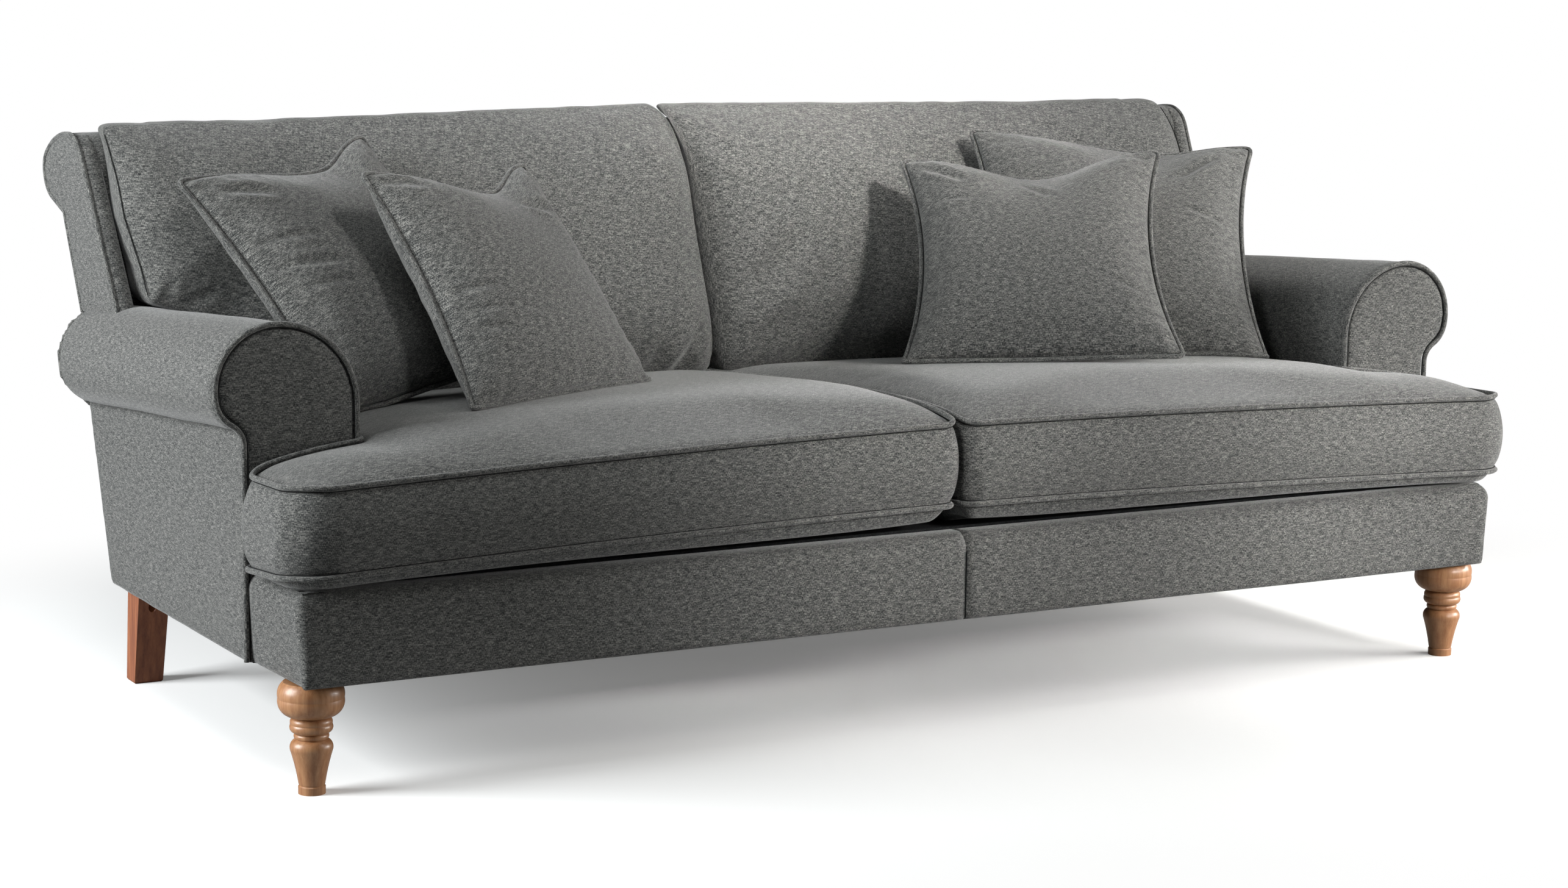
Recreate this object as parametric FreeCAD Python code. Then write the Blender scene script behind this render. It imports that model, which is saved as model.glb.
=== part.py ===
import FreeCAD, Part
import math
import os
from FreeCAD import Vector

# Three-seat scroll-arm sofa with loose cushions.  Millimetres, +Z up, the front faces -Y.
# It is laid out from the base's front face (y = 0) and the floor (z = 0), and every piece is
# moved at the end so that the origin is under the middle of its footprint.

# ---------------------------------------------------------------- driving dimensions
gap = 0.3                     # clearance between pieces that only touch
inner_half_width = 904.0      # centre line to the inside of an arm
arm_width = 176.0             # inside of an arm to the outside of its side panel
outer_half_width = inner_half_width + arm_width
leg_height = 166.0            # floor to the underside of the base
base_height = 139.0           # depth of the padded base
base_top = leg_height + base_height
arm_front = 196.0             # how far the arms stand behind the base's front
base_pad = 18.0               # foam and fabric over the base rails
base_seam_x = 28.0            # seam between the two halves of the base's front cover

panel_thickness = 10.0        # fabric over card on the outsides
board_thickness = 18.0        # plywood profile boards
facing_thickness = 8.0        # padded facings at the ends of the scrolls
piping_radius = 4.0
frame_lift = 2.7              # dust cover and its clearance, under the rails

arm_height = 363.0            # top of an arm at its front, above the base
arm_top = base_top + arm_height
arm_slope = 0.078             # the arm falls towards the back by this much per mm
arm_inner_radius = arm_width * 0.7216
arm_outer_radius = arm_width * 0.5511
arm_under_radius = arm_width * 0.2955
arm_under_angle = -10.0       # degrees, where the under curve takes over
arm_pad = 20.0                # foam round the arm's boards

back_outer_foot = 849.0       # outside of the back at the underside of the base
back_outer_lean = 0.347       # mm back for each mm up
back_inner_foot = 835.0       # inside of the back at the seat deck
back_inner_lean = 0.184
back_pad = 25.0
back_flare = 3.5              # degrees that the back's ends lean outwards
scroll_pad = 20.0
scroll_front = (937.0, base_top + 545.0)
scroll_front_lean = 62.4      # heading of the roll's front, degrees above level
scroll_brow_radius = 63.0
scroll_top_radius = 245.0
scroll_top_turn = 33.0
scroll_tip_radius = 40.0
scroll_tip_turn = 129.0
wing_foot = (818.0, arm_top - 46.0)    # front lower corner of the back's side facing
wing_lap = 30.0               # how far the outside of the back stays wide below the wings
wing_reach = 36.0             # how far the back's ends run down behind the curve of the arm
wing_width = 28.0

rail_thickness = 28.0
rail_top = base_top - 20.0
return_rail = 15.0
rear_rail_y = 800.0
stretcher_x = 300.0
block_leg = 100.0
block_height = 40.0

spring_wire = 3.8
spring_count = 10
spring_width = 50.0
spring_half_wave = 39.0
felt_thickness = 5.0
tie_radius = 1.5

seat_front = -34.0            # front of the seat cushions, proud of the base
seat_end = outer_half_width + 16.0    # outer end of a seat cushion's ear
seat_back = 838.0
seat_rest = base_top + 1.0    # top of the deck
seat_crown = seat_rest + 192.0
seat_rear_top = seat_rest + 150.0
seat_lip_top = seat_rest + 164.0
seat_lip_bottom = seat_rest + 34.0
seat_split_x = -6.0           # where the two seat cushions meet
seat_split = 4.0              # half of the gap between them
seat_corner = 34.0
cover_thickness = 2.0

back_split = 1.1              # half of the gap between the two back cushions
back_split_x = seat_split_x - seat_split + gap - back_split    # clear of the left seat as it lifts
back_ear_left = outer_half_width - 36.0
back_ear_right = outer_half_width - 60.0
back_cushion_top = base_top + 601.0
back_face = ((733.0, 0.0), (752.0, base_top + 345.0), (850.0, base_top + 547.0))
back_cushion_brow = (890.0, back_cushion_top - 16.0)
back_cushion_crest = 955.0

small_scatter = 444.0
large_scatter = 480.0
scatter_thickness = 100.0

front_leg_at = (outer_half_width - 46.0, 66.0)
leg_bolt_radius = 4.0
foot_radius = 19.8
back_leg_x = (outer_half_width - 79.0, outer_half_width - 31.0)
back_leg_foot_y = (823.0, 863.0)
back_leg_top_y = (790.0, 847.0)
screw_radius = 3.0

frame_bottom = leg_height + frame_lift
rail_front = base_pad + gap
rail_back = rail_front + rail_thickness


# ---------------------------------------------------------------- small helpers
def box(x0, x1, y0, y1, z0, z1):
    return Part.makeBox(x1 - x0, y1 - y0, z1 - z0, Vector(x0, y0, z0))


def face_of(points):
    return Part.Face(Part.makePolygon(points + [points[0]]))


def prism_yz(points, x0, x1):
    """A side-view outline, extruded across the sofa."""
    return face_of([Vector(x0, y, z) for y, z in points]).extrude(Vector(x1 - x0, 0, 0))


def prism_xz(points, y0, y1):
    """A front-view outline, extruded towards the back."""
    return face_of([Vector(x, y0, z) for x, z in points]).extrude(Vector(0, y1 - y0, 0))


def prism_xy(points, z0, z1):
    """A plan outline, extruded upwards."""
    return face_of([Vector(x, y, z0) for x, y in points]).extrude(Vector(0, 0, z1 - z0))


def mirrored(shape):
    return shape.mirror(Vector(0, 0, 0), Vector(1, 0, 0))


def pair(shape):
    return Part.makeCompound([shape, mirrored(shape)])


def group(shapes):
    return Part.makeCompound(shapes)


def arc_yz(x, start, through, end):
    points = [Vector(x, y, z) for y, z in (start, through, end)]
    return Part.Arc(*points).toShape()


def line_yz(x, start, end):
    return Part.makeLine(Vector(x, *start), Vector(x, *end))


def outer_y(z):
    """The outside of the back at a height."""
    return back_outer_foot + back_outer_lean * (z - leg_height)


def inner_y(z):
    """The inside of the back at a height."""
    return back_inner_foot + back_inner_lean * (z - base_top)


def in_front_of_back(shape, inset):
    """Keeps what lies in front of the outside of the back, less an inset."""
    low, high, reach = 0.0, 1200.0, 1600.0
    behind = prism_yz([(outer_y(low) - inset, low), (reach, low), (reach, high),
                       (outer_y(high) - inset, high)], -1300, 1300)
    return shape.cut(behind)


nodes = {}


# ---------------------------------------------------------------- the wooden seat frame
rear_rail_back = rear_rail_y + rail_thickness
board_inner_x = inner_half_width + arm_pad + 1.8
side_rail_x = board_inner_x - gap - rail_thickness
return_rail_x = outer_half_width - base_pad - gap - return_rail

nodes["front_rail"] = box(-return_rail_x + gap, return_rail_x - gap, rail_front, rail_back,
                          frame_bottom, rail_top)
nodes["rear_rail"] = box(-side_rail_x + gap, side_rail_x - gap, rear_rail_y, rear_rail_back,
                         frame_bottom, rail_top)
nodes["seat_side_rails"] = pair(box(side_rail_x, side_rail_x + rail_thickness, rail_back + gap,
                                    rear_rail_back, frame_bottom, rail_top))
nodes["return_rails"] = pair(box(return_rail_x, return_rail_x + return_rail, rail_front,
                                 arm_front - gap, frame_bottom, rail_top))
stretcher = box(stretcher_x, stretcher_x + rail_thickness, rail_back + gap, rear_rail_y - gap,
                frame_bottom, rail_top - 21)
nodes["centre_stretchers"] = pair(stretcher)


def corner_block(corner_x, corner_y, dx, dy):
    points = [(corner_x, corner_y), (corner_x + dx, corner_y), (corner_x, corner_y + dy)]
    return prism_xy(points, frame_bottom, frame_bottom + block_height)


leg_x, leg_y = front_leg_at
bolt_hole = Part.makeCylinder(leg_bolt_radius + 0.2, block_height * 2, Vector(leg_x, leg_y, leg_height))
front_block = corner_block(return_rail_x - gap, rail_back + gap, -block_leg, block_leg).cut(bolt_hole)
back_block = corner_block(side_rail_x - gap, rear_rail_y - gap, -block_leg, -block_leg)
nodes["corner_blocks"] = group([front_block, mirrored(front_block), back_block, mirrored(back_block)])

# ---------------------------------------------------------------- serpentine springs and deck
spring_z = rail_top + gap
spring_clip_y = (rail_front + 8, rear_rail_back - 8)
clip_depth = 8.0


def strip(path, width, z, height):
    """A flat strip of constant width along a plan path, with mitred bends."""
    left, right = [], []
    for i, point in enumerate(path):
        before = (point - path[i - 1]).normalize() if i else None
        after = (path[i + 1] - point).normalize() if i < len(path) - 1 else None
        along = before or after
        if before and after:
            along = (before + after).normalize()
        normal = Vector(-along.y, along.x, 0)
        reach = width / 2
        if before and after:
            reach = reach / abs(normal.dot(Vector(-after.y, after.x, 0)))
        left.append(point + normal * reach)
        right.append(point - normal * reach)
    outline = [Vector(p.x, p.y, z) for p in left + right[::-1]]
    return face_of(outline).extrude(Vector(0, 0, height))


def serpentine(x):
    """One zigzag spring, clipped to the front and the rear rail."""
    start = spring_clip_y[0] + clip_depth + gap + spring_wire / 2
    end = spring_clip_y[1] - clip_depth - gap - spring_wire / 2
    waves = int((end - start) / spring_half_wave)
    pitch = (end - start) / waves
    corner = pitch * 0.3
    half = spring_width / 2
    path = [Vector(x - half + corner, start, 0)]
    for wave in range(waves):
        side = 1 if wave % 2 == 0 else -1
        y = start + wave * pitch
        path.append(Vector(x + side * (half - corner), y, 0))
        path.append(Vector(x + side * half, y + corner, 0))
        path.append(Vector(x + side * half, y + pitch - corner, 0))
        path.append(Vector(x + side * (half - corner), y + pitch, 0))
    side = 1 if waves % 2 == 0 else -1
    path.append(Vector(x + side * (half - corner), end, 0))
    return strip(path, spring_wire, spring_z, spring_wire)


spring_pitch = 2 * side_rail_x / spring_count
spring_places = [(i - (spring_count - 1) / 2) * spring_pitch for i in range(spring_count)]
nodes["seat_springs"] = group([serpentine(x) for x in spring_places])
clips = []
for x in spring_places:
    for y in (spring_clip_y[0], spring_clip_y[1] - clip_depth):
        clips.append(box(x - spring_width / 2, x + spring_width / 2, y, y + clip_depth,
                         rail_top, spring_z + spring_wire))
nodes["spring_clips"] = group(clips)

tie_z = spring_z + spring_wire + gap + tie_radius
ties = [Part.makeCylinder(tie_radius, 2 * side_rail_x, Vector(-side_rail_x, y, tie_z), Vector(1, 0, 0))
        for y in (300.0, 550.0)]
nodes["spring_tie_wires"] = group(ties)

felt_z = tie_z + tie_radius + gap
deck_z = felt_z + felt_thickness + gap
lip_depth = 42.0
deck_front = base_pad + lip_depth + gap
deck_side = outer_half_width - base_pad - 37.0
nodes["spring_felt"] = box(-inner_half_width + gap, inner_half_width - gap, deck_front,
                           back_inner_foot - gap, felt_z, felt_z + felt_thickness)
deck_plan = [(-deck_side + gap, deck_front), (deck_side - gap, deck_front),
             (deck_side - gap, arm_front - gap), (inner_half_width - gap, arm_front - gap),
             (inner_half_width - gap, back_inner_foot - 1), (-inner_half_width + gap, back_inner_foot - 1),
             (-inner_half_width + gap, arm_front - gap), (-deck_side + gap, arm_front - gap)]
nodes["seat_deck"] = prism_xy(deck_plan, deck_z, seat_rest)

# ---------------------------------------------------------------- the padded base
base_block = box(-outer_half_width, outer_half_width, 0, arm_front - gap, leg_height, base_top)
upright_edges = [e for e in base_block.Edges
                 if abs(e.BoundBox.ZLength - (base_top - leg_height)) < 0.1 and e.BoundBox.YMax < 1]
base_block = base_block.makeFillet(20, upright_edges)
top_edges = [e for e in base_block.Edges
             if e.BoundBox.ZMin > base_top - 0.1 and e.BoundBox.YMin < arm_front - 1]
base_block = base_block.makeFillet(24, top_edges)
inside = box(-outer_half_width + base_pad, outer_half_width - base_pad, base_pad, arm_front + 1,
             leg_height - 1, spring_z + spring_wire + gap)
opening = box(-deck_side, deck_side, deck_front - gap, arm_front + 1, leg_height - 1, base_top + 1)
base_cover = base_block.cut(inside).cut(opening)
seam = gap / 2
nodes["base_cover_left"] = base_cover.common(
    box(-outer_half_width - 1, base_seam_x - seam, -1, arm_front, 0, base_top + 1))
nodes["base_cover_right"] = base_cover.common(
    box(base_seam_x + seam, outer_half_width + 1, -1, arm_front, 0, base_top + 1))

# ---------------------------------------------------------------- the scroll arms
under_a = math.radians(arm_under_angle)
curl_x = inner_half_width + arm_inner_radius
under_x = curl_x + (arm_outer_radius - arm_under_radius) * math.cos(under_a)
tip_angle = -math.degrees(math.acos((outer_half_width - under_x) / arm_under_radius))


def arm_drop(y):
    return arm_slope * (y - arm_front)


def arm_curve(inset, y, foot_z):
    """Edges of the arm's section: up the inside, over the scroll and under to the fold."""
    drop = arm_drop(y)
    inner_z = arm_top - arm_inner_radius - drop
    outer_z = arm_top - arm_outer_radius - drop
    under_z = outer_z + (arm_outer_radius - arm_under_radius) * math.sin(under_a)

    def at(cx, cz, radius, degrees):
        a = math.radians(degrees)
        return Vector(cx + radius * math.cos(a), y, cz + radius * math.sin(a))

    def bow(cx, cz, radius, start, end):
        points = [at(cx, cz, radius, d) for d in (start, (start + end) / 2, end)]
        return Part.Arc(*points).toShape()

    inner_radius = arm_inner_radius - inset
    outer_radius = arm_outer_radius - inset
    under_radius = arm_under_radius - inset
    side = Part.makeLine(Vector(inner_half_width + inset, y, foot_z),
                         at(curl_x, inner_z, inner_radius, 180))
    return [side, bow(curl_x, inner_z, inner_radius, 180, 90),
            bow(curl_x, outer_z, outer_radius, 90, arm_under_angle),
            bow(under_x, under_z, under_radius, arm_under_angle, tip_angle)]


def ends(edges):
    return edges[0].Vertexes[0].Point, edges[-1].Vertexes[-1].Point


def closed(edges, *points):
    """Closes a run of edges through the given points."""
    first, last = ends(edges)
    lines, here = [], last
    for point in list(points) + [first]:
        lines.append(Part.makeLine(here, point))
        here = point
    return Part.Wire(edges + lines)


def arm_shell_wire(y):
    outer = arm_curve(0, y, base_top + 1)
    inner = arm_curve(arm_pad, y, base_top + 1)
    outer_first, outer_last = ends(outer)
    inner_first, inner_last = ends(inner)
    edges = outer + [Part.makeLine(outer_last, inner_last)] + inner[::-1]
    edges.append(Part.makeLine(inner_first, outer_first))
    return Part.Wire(Part.__sortEdges__(edges))


def arm_block_wire(y):
    outer = arm_curve(0, y, base_top + 1)
    return closed(outer, ends(arm_curve(arm_pad, y, base_top + 1))[1],
                  Vector(inner_half_width + arm_pad, y, base_top + 1))


pad_front = arm_front + facing_thickness + gap
pad_reach = outer_y(arm_top) + 40 - pad_front
along_arm = Vector(0, pad_reach, -arm_slope * pad_reach)
above_base = box(800, 1300, 0, 1500, base_top + 1, 1200)
arm_shell = Part.Face(arm_shell_wire(pad_front)).extrude(along_arm).common(above_base)
arm_block = Part.Face(arm_block_wire(pad_front)).extrude(along_arm).common(above_base)
back_skin = panel_thickness + gap
end_cap = in_front_of_back(arm_block, back_skin)
end_cap = end_cap.cut(in_front_of_back(box(800, 1300, 0, 1500, 0, 1200), back_skin + arm_pad))
arm_scroll = in_front_of_back(arm_shell, back_skin).fuse(end_cap).removeSplitter()

fold_front = arm_curve(0, pad_front, base_top + 1)[-1].Vertexes[-1].Point.z


def fold_z(y):
    return fold_front - arm_slope * (y - pad_front)


side_top = fold_z(outer_y(fold_z(950)))
side_points = [(arm_front, leg_height), (outer_y(leg_height) - back_skin, leg_height),
               (outer_y(side_top) - back_skin, side_top - gap), (pad_front, fold_front - gap),
               (pad_front, base_top + 1), (arm_front, base_top + 1)]
arm_side = prism_yz(side_points, outer_half_width - panel_thickness, outer_half_width)


def arm_board(y):
    """The plywood profile that gives the arm its section."""
    rear = y + board_thickness
    edges = arm_curve(arm_pad + 1.8, rear, frame_bottom)
    tip = ends(edges)[1]
    outside = outer_half_width - panel_thickness - 0.6
    wire = closed(edges, Vector(outside, rear, tip.z - arm_pad), Vector(outside, rear, frame_bottom))
    return Part.Face(wire).extrude(Vector(0, -board_thickness, 0))


front_board = arm_board(pad_front + gap)
rear_board = arm_board(rear_rail_y)
rail_start = pad_front + board_thickness + 2 * gap
rail_end = rear_rail_y - gap
scroll_rail = 50.0


def arm_rail(x0, x1, z_top, height):
    points = [(rail_start, z_top - arm_drop(rail_start)), (rail_end, z_top - arm_drop(rail_end)),
              (rail_end, z_top - height - arm_drop(rail_end)),
              (rail_start, z_top - height - arm_drop(rail_start))]
    return prism_yz(points, x0, x1)


arm_rails = [
    arm_rail(curl_x - scroll_rail / 2, curl_x + scroll_rail / 2, arm_top - arm_pad - 7, rail_thickness),
    arm_rail(inner_half_width + arm_pad + 1, inner_half_width + arm_pad + 1 + rail_thickness,
             arm_top - arm_inner_radius, scroll_rail),
    arm_rail(outer_half_width - panel_thickness - 1 - rail_thickness,
             outer_half_width - panel_thickness - 1, fold_front - 4, scroll_rail),
    box(outer_half_width - panel_thickness - 1 - rail_thickness, outer_half_width - panel_thickness - 1,
        rail_start, rail_end, frame_bottom, frame_bottom + scroll_rail)]


def facing_wire(inset, y):
    """The front view of the arm: the scroll, the notch below it, and the straight side."""
    edges = arm_curve(inset, y, leg_height + inset)
    drop_in = arm_under_radius - inset
    notch_out = math.radians(-60)
    under_z = edges[3].Curve.Center.z
    start = Vector(under_x + drop_in * math.cos(notch_out), y, under_z + drop_in * math.sin(notch_out))
    mid_angle = math.radians((arm_under_angle - 60) / 2)
    middle = Vector(under_x + drop_in * math.cos(mid_angle), y, under_z + drop_in * math.sin(mid_angle))
    under = Part.Arc(edges[2].Vertexes[-1].Point, middle, start).toShape()
    # the neck curve turns the other way, from the scroll's underside to the straight side
    neck_x = outer_half_width + panel_thickness * 0.5 - inset
    turn = (start.x - neck_x) / (1 - math.cos(math.radians(60)) )
    centre = Vector(neck_x + turn, y, 0)
    centre.z = start.z - turn * math.sin(math.radians(60))
    bend = math.radians(150)
    halfway = Vector(centre.x + turn * math.cos(bend), y, centre.z + turn * math.sin(bend))
    neck_end = Vector(neck_x, y, centre.z)
    neck = Part.Arc(start, halfway, neck_end).toShape()
    return edges[:3] + [under, neck], neck_end


def facing_outline(inset, y, foot_z):
    edges, neck_end = facing_wire(inset, y)
    foot = Part.makeLine(neck_end, Vector(neck_end.x, y, foot_z))
    first = Part.makeLine(Vector(inner_half_width + inset, y, foot_z), edges[1].Vertexes[0].Point)
    return [first] + edges[1:] + [foot]


facing_foot = base_top + 1.5
arm_face_edges = facing_outline(2 * piping_radius + gap, arm_front, facing_foot)
arm_face_wire = closed(arm_face_edges)
arm_facing = Part.Face(arm_face_wire).extrude(Vector(0, facing_thickness, 0))


def piping(edges):
    """A round welt along a run of lines and arcs, with a ball where the run turns sharply."""
    pieces, last_way = [], None
    for edge in edges:
        start, finish = edge.valueAt(edge.FirstParameter), edge.valueAt(edge.LastParameter)
        way = edge.tangentAt(edge.FirstParameter)
        ring = Part.Face(Part.Wire(Part.makeCircle(piping_radius, start, way)))
        if hasattr(edge.Curve, "Radius"):
            sweep = math.degrees(edge.LastParameter - edge.FirstParameter)
            pieces.append(ring.revolve(edge.Curve.Center, edge.Curve.Axis, sweep))
        else:
            pieces.append(ring.extrude(finish - start))
        if last_way and way.getAngle(last_way) > 0.05:
            pieces.append(Part.makeSphere(piping_radius, start))
        last_way = edge.tangentAt(edge.LastParameter)
    return pieces[0].fuse(pieces[1:])


arm_piping = piping(facing_outline(piping_radius, arm_front + facing_thickness / 2, facing_foot))

for name, turn in (("left", mirrored), ("right", lambda shape: shape)):
    nodes["arm_boards_" + name] = turn(group([front_board, rear_board]))
    nodes["arm_rails_" + name] = turn(group(arm_rails))
    nodes["arm_scroll_pad_" + name] = turn(arm_scroll)
    nodes["arm_side_panel_" + name] = turn(arm_side)
    nodes["arm_facing_" + name] = turn(arm_facing)
    nodes["arm_facing_piping_" + name] = turn(arm_piping)

# ---------------------------------------------------------------- the raked scroll back
board_x = outer_half_width - 6 - facing_thickness - gap - board_thickness


def wing_bottom(y):
    """Level that clears the arm's top."""
    return arm_top - arm_drop(y) + 0.6


def on_arm(shape):
    """Trims a piece of the back's end to sit on the curve of the arm."""
    slack = Part.Face(closed(arm_curve(-gap, pad_front, base_top), Vector(curl_x, pad_front, base_top)))
    return shape.cut(slack.extrude(along_arm))


def bend(x, start, heading, radius, turn):
    """An arc that curls down from a point; gives the edge, its end and the new heading."""
    points = []
    for part in (0, 0.5, 1):
        here = math.radians(heading - part * turn)
        first = math.radians(heading)
        points.append((start[0] + radius * (math.sin(first) - math.sin(here)),
                       start[1] + radius * (math.cos(here) - math.cos(first))))
    return arc_yz(x, *points), points[2], heading - turn


def back_outline(x):
    """Side view of the back above the arms, as edges that run up the front and over."""
    brow, crest, level = bend(x, scroll_front, scroll_front_lean, scroll_brow_radius, scroll_front_lean)
    top, rear, heading = bend(x, crest, level, scroll_top_radius, scroll_top_turn)
    tip, under, heading = bend(x, rear, heading, scroll_tip_radius, scroll_tip_turn)
    # the underside runs on straight to the outside of the back
    fall = math.tan(math.radians(heading))
    notch_y = (outer_y(under[1]) - back_outer_lean * fall * under[0]) / (1 - back_outer_lean * fall)
    notch = (notch_y, under[1] + fall * (notch_y - under[0]))
    rise = math.tan(math.radians(scroll_front_lean))
    foot_z = wing_bottom(scroll_front[0]) - wing_reach
    foot = (scroll_front[0] - (scroll_front[1] - foot_z) / rise, foot_z)
    heel = (outer_y(foot_z), foot_z)
    return [line_yz(x, foot, scroll_front), brow, top, tip, line_yz(x, under, notch), line_yz(x, notch, heel)]


def back_plate(x, inset, thickness):
    wire = closed(back_outline(x))
    if inset:
        wire = wire.makeOffset2D(-inset)
    return Part.Face(wire).extrude(Vector(thickness, 0, 0))


wing_low = wing_bottom(wing_foot[0]) + 2
flare_axis = Vector(outer_half_width - 6, 0, wing_foot[1])


def flared(shape):
    turned = shape.copy()
    turned.rotate(flare_axis, Vector(0, 1, 0), back_flare)
    return turned


facing_x = board_x + board_thickness + gap
end_board = on_arm(flared(back_plate(board_x, 0, board_thickness)))
back_facing = on_arm(flared(back_plate(facing_x, piping_radius + gap, facing_thickness)))
welt_edges = back_outline(facing_x + facing_thickness / 2)
back_piping = on_arm(flared(piping(welt_edges)))
beyond_wing = flared(box(board_x - gap, board_x + 400, 600, 1400, wing_low - wing_lap, 1200))
nodes["back_end_boards"] = pair(end_board)
for name, turn in (("left", mirrored), ("right", lambda shape: shape)):
    nodes["back_facing_" + name] = turn(back_facing)
    nodes["back_facing_piping_" + name] = turn(back_piping)


def between_wings(shape):
    return shape.cut(beyond_wing).cut(mirrored(beyond_wing))


# The roll along the top is a foam sleeve over plywood formers.
roll_x = outer_half_width + 20
over_roll = back_outline(-roll_x)[1:5]
notch_z = ends(over_roll)[1].z
roll_start = (inner_y(notch_z), notch_z)
roll_wire = closed([line_yz(-roll_x, roll_start, scroll_front)] + over_roll)
roll_hole = roll_wire.makeOffset2D(-scroll_pad)
roll = Part.Face(roll_wire).extrude(Vector(2 * roll_x, 0, 0))
roll = roll.cut(Part.Face(roll_hole).extrude(Vector(2 * roll_x, 0, 0)))
nodes["back_scroll_pad"] = between_wings(roll)
former = Part.Face(roll_wire.makeOffset2D(-scroll_pad - gap)).extrude(Vector(board_thickness, 0, 0))
former_pitch = (outer_half_width - 120.0) / 2
formers = []
for place in range(-2, 3):
    moved = former.copy()
    moved.translate(Vector(place * former_pitch + roll_x - board_thickness / 2, 0, 0))
    formers.append(moved)
nodes["back_scroll_formers"] = group(formers)

# The pad inside the back is wide above the arms and fits between them below.
pad_low = base_top + 1 + gap
pad_high = notch_z - gap
pad_profile = prism_yz([(inner_y(pad_low), pad_low), (inner_y(pad_high), pad_high),
                        (inner_y(pad_high) + back_pad, pad_high), (inner_y(pad_low) + back_pad, pad_low)],
                       -roll_x, roll_x)
pad_in = inner_half_width - gap
pad_front_view = [(-pad_in, pad_low), (pad_in, pad_low), (pad_in, wing_low), (roll_x, wing_low),
                  (roll_x, pad_high), (-roll_x, pad_high), (-roll_x, wing_low), (-pad_in, wing_low)]
nodes["back_inside_pad"] = between_wings(pad_profile.common(prism_xz(pad_front_view, 700, 1200)))

post_bottom = frame_bottom
post_top = base_top + 395.0
end_post_x = inner_half_width - 46.0
middle_post_x = stretcher_x - 14.0
post_places = (-end_post_x - rail_thickness, -middle_post_x - rail_thickness, middle_post_x, end_post_x)
post_front = rear_rail_back + gap


def post_line(z):
    return inner_y(z) + back_pad + 3


def post_rear(z):
    return outer_y(z) - back_skin


post_points = [(post_front, post_bottom), (post_rear(post_bottom), post_bottom),
               (post_rear(post_top), post_top), (post_line(post_top), post_top),
               (post_line(pad_low), pad_low), (post_front, pad_low - rail_thickness)]
posts = [prism_yz(post_points, x, x + rail_thickness) for x in post_places]
nodes["back_posts"] = group(posts)
rail_top_z = notch_z - 4
top_rail_points = [(post_line(post_top + gap), post_top + gap), (post_rear(post_top + gap), post_top + gap),
                   (post_rear(rail_top_z), rail_top_z), (post_line(rail_top_z), rail_top_z)]
nodes["back_top_rail"] = between_wings(prism_yz(top_rail_points, -roll_x, roll_x))
strap_width = 50.0
strap_count = 8
strap_pitch = 2 * (inner_half_width - 104.0) / strap_count
straps = []
for i in range(strap_count):
    x = (i - (strap_count - 1) / 2) * strap_pitch
    low, high = pad_low, rail_top_z
    straps.append(prism_yz([(inner_y(low) + back_pad + gap, low), (inner_y(high) + back_pad + gap, high),
                            (inner_y(high) + back_pad + 2.4, high), (inner_y(low) + back_pad + 2.4, low)],
                           x - strap_width / 2, x + strap_width / 2))
nodes["back_webbing"] = group(straps)

panel_top = notch_z - 3
rear_profile = prism_yz([(outer_y(leg_height) - panel_thickness, leg_height),
                         (outer_y(leg_height), leg_height), (outer_y(panel_top), panel_top),
                         (outer_y(panel_top) - panel_thickness, panel_top)], -roll_x, roll_x)
rear_half = outer_half_width - gap
rear_view = [(-rear_half, leg_height), (rear_half, leg_height), (rear_half, wing_low - wing_lap),
             (roll_x, wing_low - wing_lap), (roll_x, panel_top), (-roll_x, panel_top),
             (-roll_x, wing_low - wing_lap), (-rear_half, wing_low - wing_lap)]
rear_panel = rear_profile.common(prism_xz(rear_view, 700, 1300))
nodes["back_outside_panel"] = between_wings(rear_panel)

# ---------------------------------------------------------------- legs and their fixings
def turned_leg(x, y):
    """Turned front leg: foot ring, long vase, small ring, double ring and bulb."""
    top = leg_height - gap
    profile = [
        ("start", (foot_radius, 0.0)), ("line", (foot_radius, 11.0)), ("line", (18.4, 12.5)),
        ("line", (19.3, 15.0)), ("arc", (24.6, 42.0), (30.5, 64.0)), ("arc", (30.3, 74.0), (23.0, 81.0)),
        ("arc", (25.6, 85.5), (23.0, 90.0)), ("arc", (30.2, 94.0), (30.2, 103.0)),
        ("arc", (29.0, 111.0), (24.0, 114.0)), ("arc", (41.0, 120.0), (48.0, 142.0)),
        ("arc", (47.0, 156.0), (40.0, 165.7))]
    stretch = top / profile[-1][-1][1]    # the turning is drawn for a leg of the usual height
    point = Vector(foot_radius, 0, 0)
    edges = [Part.makeLine(Vector(0, 0, 0), point)]
    for step in profile[1:]:
        end = Vector(step[-1][0], 0, step[-1][1] * stretch)
        if step[0] == "line":
            edges.append(Part.makeLine(point, end))
        else:
            edges.append(Part.Arc(point, Vector(step[1][0], 0, step[1][1] * stretch), end).toShape())
        point = end
    edges.append(Part.makeLine(point, Vector(0, 0, top)))
    edges.append(Part.makeLine(Vector(0, 0, top), Vector(0, 0, 0)))
    leg = Part.Face(Part.Wire(edges)).revolve(Vector(0, 0, 0), Vector(0, 0, 1), 360)
    leg.translate(Vector(x, y, 0))
    return leg


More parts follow.
